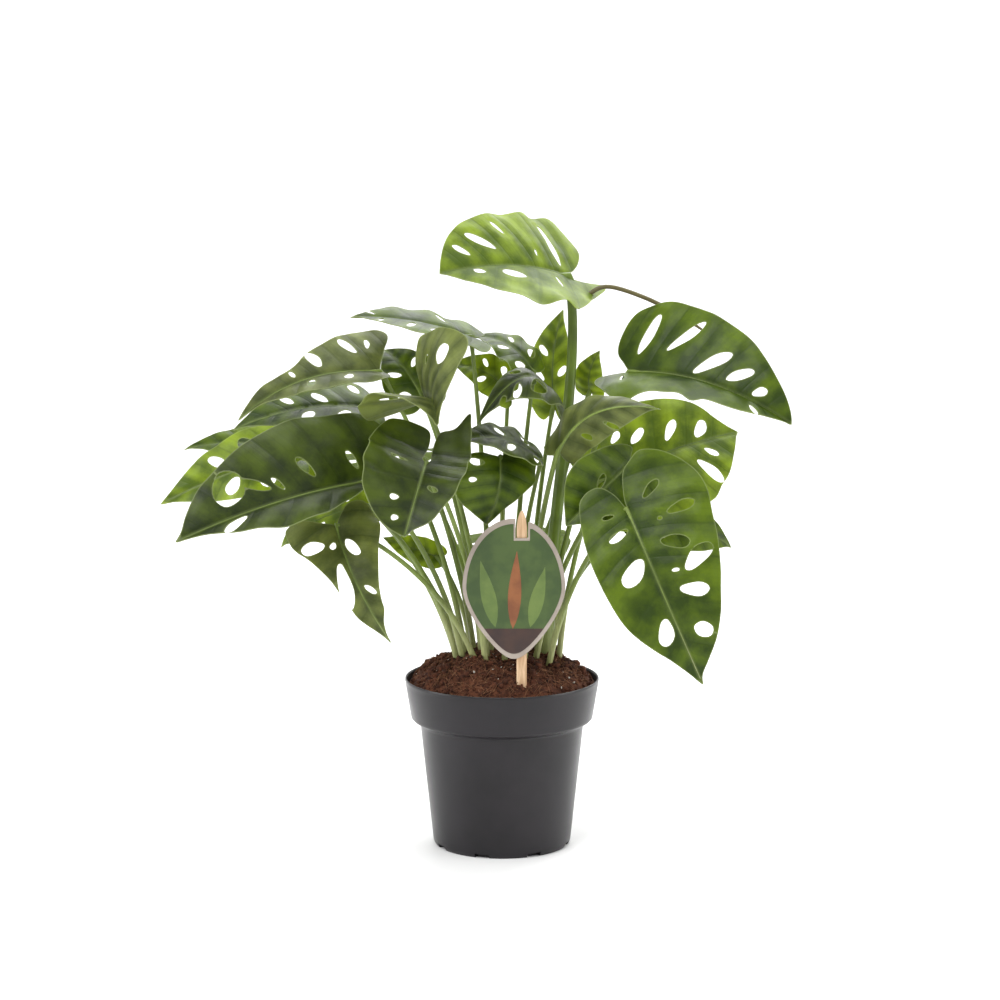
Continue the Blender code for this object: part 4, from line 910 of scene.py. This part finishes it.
def make_pot():
    """The pot, turned finely: rolled lip, rim band, shoulder, tapered body, foot ring, drainage notches."""
    profile = (
        (0, 4.6), (40.2, 4.6), (41.2, 5.4), (49.2, 76.0), (50.4, 77.6), (54.2, 79.6), (55.2, 81.4),
        (58.6, 103.6), (58.9, 104.6), (59.4, 105.0), (59.85, 104.85), (60.0, 104.4), (60.0, 103.4),
        (59.75, 102.9), (59.6, 100.5), (56.5, 81.6), (56.2, 80.2), (55.4, 79.3), (54.2, 78.9), (51.6, 77.6),
        (50.8, 76.6), (50.5, 75.2), (50.1, 71.0), (43.0, 5.0), (42.7, 2.6), (42.1, 1.0), (41.2, 0.0),
        (36.5, 0.0), (35.9, 0.6), (35.5, 2.8), (14.5, 2.8), (14.1, 0.6), (13.5, 0.0), (0, 0),
    )
    mesh = bpy.data.meshes.new("pot_shell")
    spots = [(radius * MM, 0.0, height * MM) for radius, height in profile]
    mesh.from_pydata(spots, [(i, i + 1) for i in range(len(spots) - 1)], [])
    thing = link("pot_shell", mesh, pot_material())
    screw = thing.modifiers.new("turn", "SCREW")
    screw.steps = screw.render_steps = 160
    screw.use_merge_vertices = True
    screw.merge_threshold = 0.00001
    cutters = []
    for index in range(NOTCH_COUNT):
        turn = math.tau * (index + NOTCH_START) / NOTCH_COUNT
        bpy.ops.mesh.primitive_cube_add(size=1)
        notch = bpy.context.object
        notch.scale = [side * MM for side in NOTCH_CUTTER]
        notch.rotation_euler.z = turn
        x, y = around(NOTCH_RADIUS, turn)
        notch.location = (x * MM, y * MM, NOTCH_MIDDLE * MM)
        cut = thing.modifiers.new("notch", "BOOLEAN")
        cut.operation = "DIFFERENCE"
        cut.object = notch
        cutters.append(notch)
    solid = applied(thing)
    thing.modifiers.clear()
    thing.data = solid
    for notch in cutters:
        bpy.data.objects.remove(notch, do_unlink=True)
    solid.shade_smooth()
    solid.set_sharp_from_angle(angle=math.radians(38))
    piece(thing, "pot_plastic", "pot")


def lump(draw, centre, size, detail):
    """Points and faces of one irregular crumb."""
    work = bmesh.new()
    bmesh.ops.create_icosphere(work, subdivisions=detail, radius=1.0)
    shape = [draw.uniform(0.6, 1.3) * size for _ in range(3)]
    angle = draw.uniform(0, math.tau)
    axis = Vector((draw.gauss(0, 1), draw.gauss(0, 1), 1)).normalized()
    turn = Matrix.Rotation(angle, 3, axis)
    shift = Vector((draw.uniform(0, 90), 0, 0))
    points = []
    for vertex in work.verts:
        swell = 1 + 0.4 * noise.noise(vertex.co * 1.6 + shift)
        local = Vector([c * share for c, share in zip(vertex.co, shape)]) * swell
        points.append(centre + turn @ local)
    faces = [tuple(v.index for v in face.verts) for face in work.faces]
    work.free()
    return points, faces


def gather(name, bits, material):
    """Many small closed bits of soil as one piece."""
    points, faces = [], []
    for bit_points, bit_faces in bits:
        first = len(points)
        points += bit_points
        faces += [tuple(first + i for i in face) for face in bit_faces]
    return piece(link(name, mesh_from(name, points, faces), material), "coir_soil")


def soil_spot(draw, reach=56.0):
    """A random place on the soil's top."""
    radius = reach * math.sqrt(draw.random())
    x, y = around(radius, draw.uniform(0, math.tau))
    return Vector((x, y, soil_height(x, y)))


def fibre(draw, middle, length, radius, lift):
    """Points and faces of one thin curled fibre on the soil, or None where it would reach the pot."""
    turn = draw.uniform(0, math.tau)
    bend = draw.uniform(-1.1, 1.1)
    spot = middle.copy()
    path = []
    parts, corners = 6, 3
    for index in range(parts + 1):
        t = index / parts
        x, y = around(1.0, turn + bend * (t - 0.5))
        spot = spot + Vector((x, y, 0)) * (length / parts)
        if math.hypot(spot.x, spot.y) > SOIL_CLEAR:
            return None
        height = soil_height(spot.x, spot.y) + 0.3 + lift * math.sin(math.pi * t)
        path.append(Vector((spot.x, spot.y, height)))
    points = []
    for index, p in enumerate(path):
        way = (path[min(index + 1, parts)] - path[max(index - 1, 0)]).normalized()
        side = way.cross(Vector((0, 0, 1))).normalized()
        other = way.cross(side)
        for corner in range(corners):
            out, up = around(1.0, math.tau * corner / corners)
            points.append(p + (side * out + other * up) * radius)
    faces = [(a, b, b + corners, a + corners) for a, b in ring_pairs(parts + 1, corners)]
    last = parts * corners
    return points, faces + [(2, 1, 0), (last, last + 1, last + 2)]


def make_soil():
    """The soil: a rough closed mound, with crumbs, coir fibres and a few white grains on it."""
    draw = random.Random(7)
    rings, steps = 96, 260
    turns = [math.tau * step / steps for step in range(steps)]
    points = [(0, 0, soil_height(0, 0))]
    for ring in range(1, rings + 1):
        fade = 1 - (ring / rings) ** 8
        for turn in turns:
            x, y = around(SOIL_RADIUS * ring / rings, turn)
            spot = Vector((x / 2.6, y / 2.6, 5.0))
            crumb = noise.noise(spot) * 1.1 + noise.noise(spot * 2.3) * 0.7 + noise.noise(spot * 5.1) * 0.35
            points.append((x, y, soil_height(x, y) + crumb * fade))
    for radius, height in SOIL_SIDE:
        points += [(*around(radius, turn), height) for turn in turns]
    faces = [(0, 1 + step, 1 + (step + 1) % steps) for step in range(steps)]
    for a, b in ring_pairs(rings + len(SOIL_SIDE), steps, 1):
        faces.append((a, a + steps, b + steps, b))
    faces.append(tuple(reversed(range(len(points) - steps, len(points)))))
    ground = soil_material("coir", (0.038, 0.012, 0.006), (0.13, 0.046, 0.022), 160.0)
    piece(link("soil_mound", mesh_from("soil_mound", points, faces), ground), "coir_soil", "soil")
    brown = soil_material("crumb", (0.028, 0.009, 0.005), (0.115, 0.038, 0.018), 260.0)
    crumbs = [lump(draw, soil_spot(draw) + Vector((0, 0, draw.uniform(-0.2, 0.9))),
                   draw.uniform(0.5, 1.5), 1) for _ in range(CRUMBS)]
    crumbs += [lump(draw, soil_spot(draw, 50) + Vector((0, 0, 0.6)), draw.uniform(1.6, 3.1), 2)
               for _ in range(BIG_CRUMBS)]
    gather("soil_crumbs", crumbs, brown)
    tan = soil_material("coir_fibre", (0.13, 0.05, 0.024), (0.31, 0.15, 0.075), 300.0, 0.8)
    fibres = [fibre(draw, soil_spot(draw), draw.uniform(4, 15), draw.uniform(0.09, 0.2),
                    draw.uniform(0.2, 2.2)) for _ in range(FIBRES)]
    gather("soil_fibres", [bit for bit in fibres if bit], tan)
    white = soil_material("white_grain", (0.62, 0.58, 0.5), (0.8, 0.78, 0.72), 500.0, 0.8)
    grains = [lump(draw, soil_spot(draw, 54) + Vector((0, 0, 0.9)), draw.uniform(0.35, 0.75), 1)
              for _ in range(GRAINS)]
    gather("soil_grains", grains, white)


def make_label():
    """The wooden stick and the printed card on it."""
    middle, stick_y = STICK_PLACE
    half = STICK_WIDTH / 2
    right = [(half, STICK_LOW), (half, 207.0), (half * 0.82, 211.5), (half * 0.45, 215.3), (0.6, 216.8)]
    left = [(-x, z) for x, z in reversed(right)]
    outline = [(middle + x, z) for x, z in left[-1:] + right + left[:-1]]
    stick = plate("label_stick_wood", outline, stick_y, STICK_THICKNESS, 0.3, wood_material())
    piece(stick, "pale_wood", "label_stick")
    cream = print_material("card_cream", (0.31, 0.26, 0.22), (0.36, 0.31, 0.265))
    edge = notched(card_outline(1.0), middle, CARD_SLOT_WIDTH / 2, CARD_SLOT_LOW)
    card = plate("label_card_body", edge, CARD_Y, CARD_THICKNESS, 0.2, cream)
    piece(card, "card_print", "label_card")
    green = print_material("card_green", (0.03, 0.062, 0.009), (0.052, 0.092, 0.015))
    brown = print_material("card_brown", (0.024, 0.009, 0.006), (0.042, 0.016, 0.009))
    tan = print_material("card_tan", (0.17, 0.05, 0.012), (0.25, 0.085, 0.022))
    pale = print_material("card_leaf_light", (0.085, 0.14, 0.025), (0.12, 0.18, 0.035))
    face = notched(card_outline(CARD_PANEL), middle, CARD_SLOT_WIDTH / 2 + 1.1, CARD_SLOT_LOW - 1.5)
    ground = [spot for spot in card_outline(CARD_PANEL) if spot[1] < CARD_GROUND]
    prints = (
        ("label_panel", face, PANEL_Y, 0.12, green),
        ("label_ground", ground, PRINT_Y, 0.1, brown),
        ("label_sprig_a", spear((-4.0, 146.0), (-13.0, 187.0), 9.0), PRINT_Y, 0.1, pale),
        ("label_sprig_b", spear((6.5, 145.0), (9.0, 193.0), 8.0), PRINT_Y, 0.1, tan),
        ("label_sprig_c", spear((17.0, 146.0), (26.0, 183.0), 8.5), PRINT_Y, 0.1, pale),
    )
    for name, shape, y, thickness, ink in prints:
        piece(plate(name, shape, y, thickness, 0.0, ink), "card_print")


def card_outline(share):
    """The card's outline at a share of its size, counter-clockwise: round above, narrowing to its foot."""
    points = []
    for index in range(CARD_POINTS):
        turn = math.tau * index / CARD_POINTS
        taper = 1 - CARD_TAPER * max(0.0, -math.sin(turn)) ** 1.4
        points.append((CARD_CENTRE[0] + CARD_SIZE[0] / 2 * share * math.cos(turn) * taper,
                       CARD_CENTRE[1] + CARD_SIZE[1] / 2 * share * math.sin(turn)))
    return points


def notched(outline, middle, half, low):
    """A closed outline, counter-clockwise, with a slot cut down into its top."""
    kept = [spot for spot in outline if spot[1] < low or abs(spot[0] - middle) > half]
    after = next(index for index, spot in enumerate(kept) if spot[1] > low and spot[0] < middle)
    right, left = middle + half, middle - half
    slot = [(right, kept[after - 1][1]), (right, low), (left, low), (left, kept[after][1])]
    return kept[:after] + slot + kept[after:]


def spear(low, high, width):
    """A simple pointed leaf outline from its foot to its tip."""
    low, high = Vector(low), Vector(high)
    way = high - low
    side = Vector((-way.y, way.x)).normalized()
    shape = [(t / 12, math.sin(math.pi * (t / 12) ** 0.8)) for t in range(13)]
    right = [low + way * t + side * (width / 2 * w) for t, w in shape]
    left = [low + way * t - side * (width / 2 * w) for t, w in shape[1:-1]]
    return [tuple(p) for p in right + list(reversed(left))]


def plate(name, outline, y, thickness, bevel, material):
    """A thin upright plate from a closed outline of x and z, its middle at y, all in mm."""
    curve = bpy.data.curves.new(name, "CURVE")
    curve.dimensions = "2D"
    curve.fill_mode = "BOTH"
    curve.extrude = thickness * MM / 2 - bevel * MM
    curve.bevel_depth = bevel * MM
    curve.bevel_resolution = 2
    curve.offset = -bevel * MM
    spline = curve.splines.new("POLY")
    spline.points.add(len(outline) - 1)
    spline.use_cyclic_u = True
    for point, (x, z) in zip(spline.points, outline):
        point.co = (x * MM, z * MM, 0.0, 1.0)
    holder = link(name, curve)
    mesh = applied(holder)
    bpy.data.objects.remove(holder, do_unlink=True)
    mesh.transform(Matrix.Translation((0, y * MM, 0)) @ Matrix.Rotation(math.pi / 2, 4, "X"))
    work = bmesh.new()
    work.from_mesh(mesh)
    bmesh.ops.remove_doubles(work, verts=work.verts, dist=0.000005)
    bmesh.ops.recalc_face_normals(work, faces=work.faces)
    if work.calc_volume(signed=True) < 0:
        bmesh.ops.reverse_faces(work, faces=work.faces)
    work.to_mesh(mesh)
    work.free()
    mesh.materials.clear()
    mesh.shade_smooth()
    mesh.set_sharp_from_angle(angle=math.radians(40))
    return link(name, mesh, material)


def make_stage():
    """A pale floor that sweeps up behind, soft lights and the camera."""
    front, bend_start, bend, top, side = -3.5, 1.2, 0.9, 4.5, 4.0
    profile = [(front, 0.0), (bend_start, 0.0)]
    for index in range(1, 13):
        turn = index * math.pi / 24
        profile.append((bend_start + bend * math.sin(turn), bend - bend * math.cos(turn)))
    profile.append((bend_start + bend, top))
    points = [(x, y, z) for y, z in profile for x in (-side, side)]
    faces = [(a, a + 1, a + 3, a + 2) for a in range(0, len(points) - 2, 2)]
    mesh = bpy.data.meshes.new("studio_floor")
    mesh.from_pydata(points, [], faces)
    mesh.shade_smooth()
    link("studio_floor", mesh, floor_material())
    world = bpy.data.worlds.new("studio")
    world.use_nodes = True
    sky = world.node_tree.nodes["Background"].inputs
    sky["Color"].default_value = (1.0, 1.0, 1.0, 1.0)
    sky["Strength"].default_value = 0.68
    bpy.context.scene.world = world
    bpy.context.scene.view_settings.view_transform = "Standard"
    lights = (
        ("key", (-0.9, -1.3, 1.7), 1.2, 27.0), ("fill", (1.3, -1.2, 0.9), 1.2, 5.0),
        ("back", (0.3, 1.0, 1.3), 1.4, 26.0), ("top", (0.0, 0.1, 2.2), 1.4, 16.0),
        ("left", (-1.5, -0.3, 0.35), 0.7, 7.0), ("right", (1.5, -0.3, 0.35), 0.7, 7.0),
    )
    for name, place, size, power in lights:
        lamp = bpy.data.lights.new(name, "AREA")
        lamp.energy = power
        lamp.size = size
        thing = link(name, lamp)
        thing.location = place
        aim = Vector((0, 0, 0.2)) - Vector(place)
        thing.rotation_euler = aim.to_track_quat("-Z", "Y").to_euler()
    camera = bpy.data.cameras.new("camera")
    camera.lens = CAMERA_LENS
    camera.sensor_width = 36.0
    thing = link("camera", camera)
    thing.location = CAMERA_PLACE
    thing.rotation_euler = (math.radians(90 - CAMERA_PITCH), 0, 0)
    bpy.context.scene.camera = thing


make_leaves()
make_pot()
make_soil()
make_label()
make_stage()
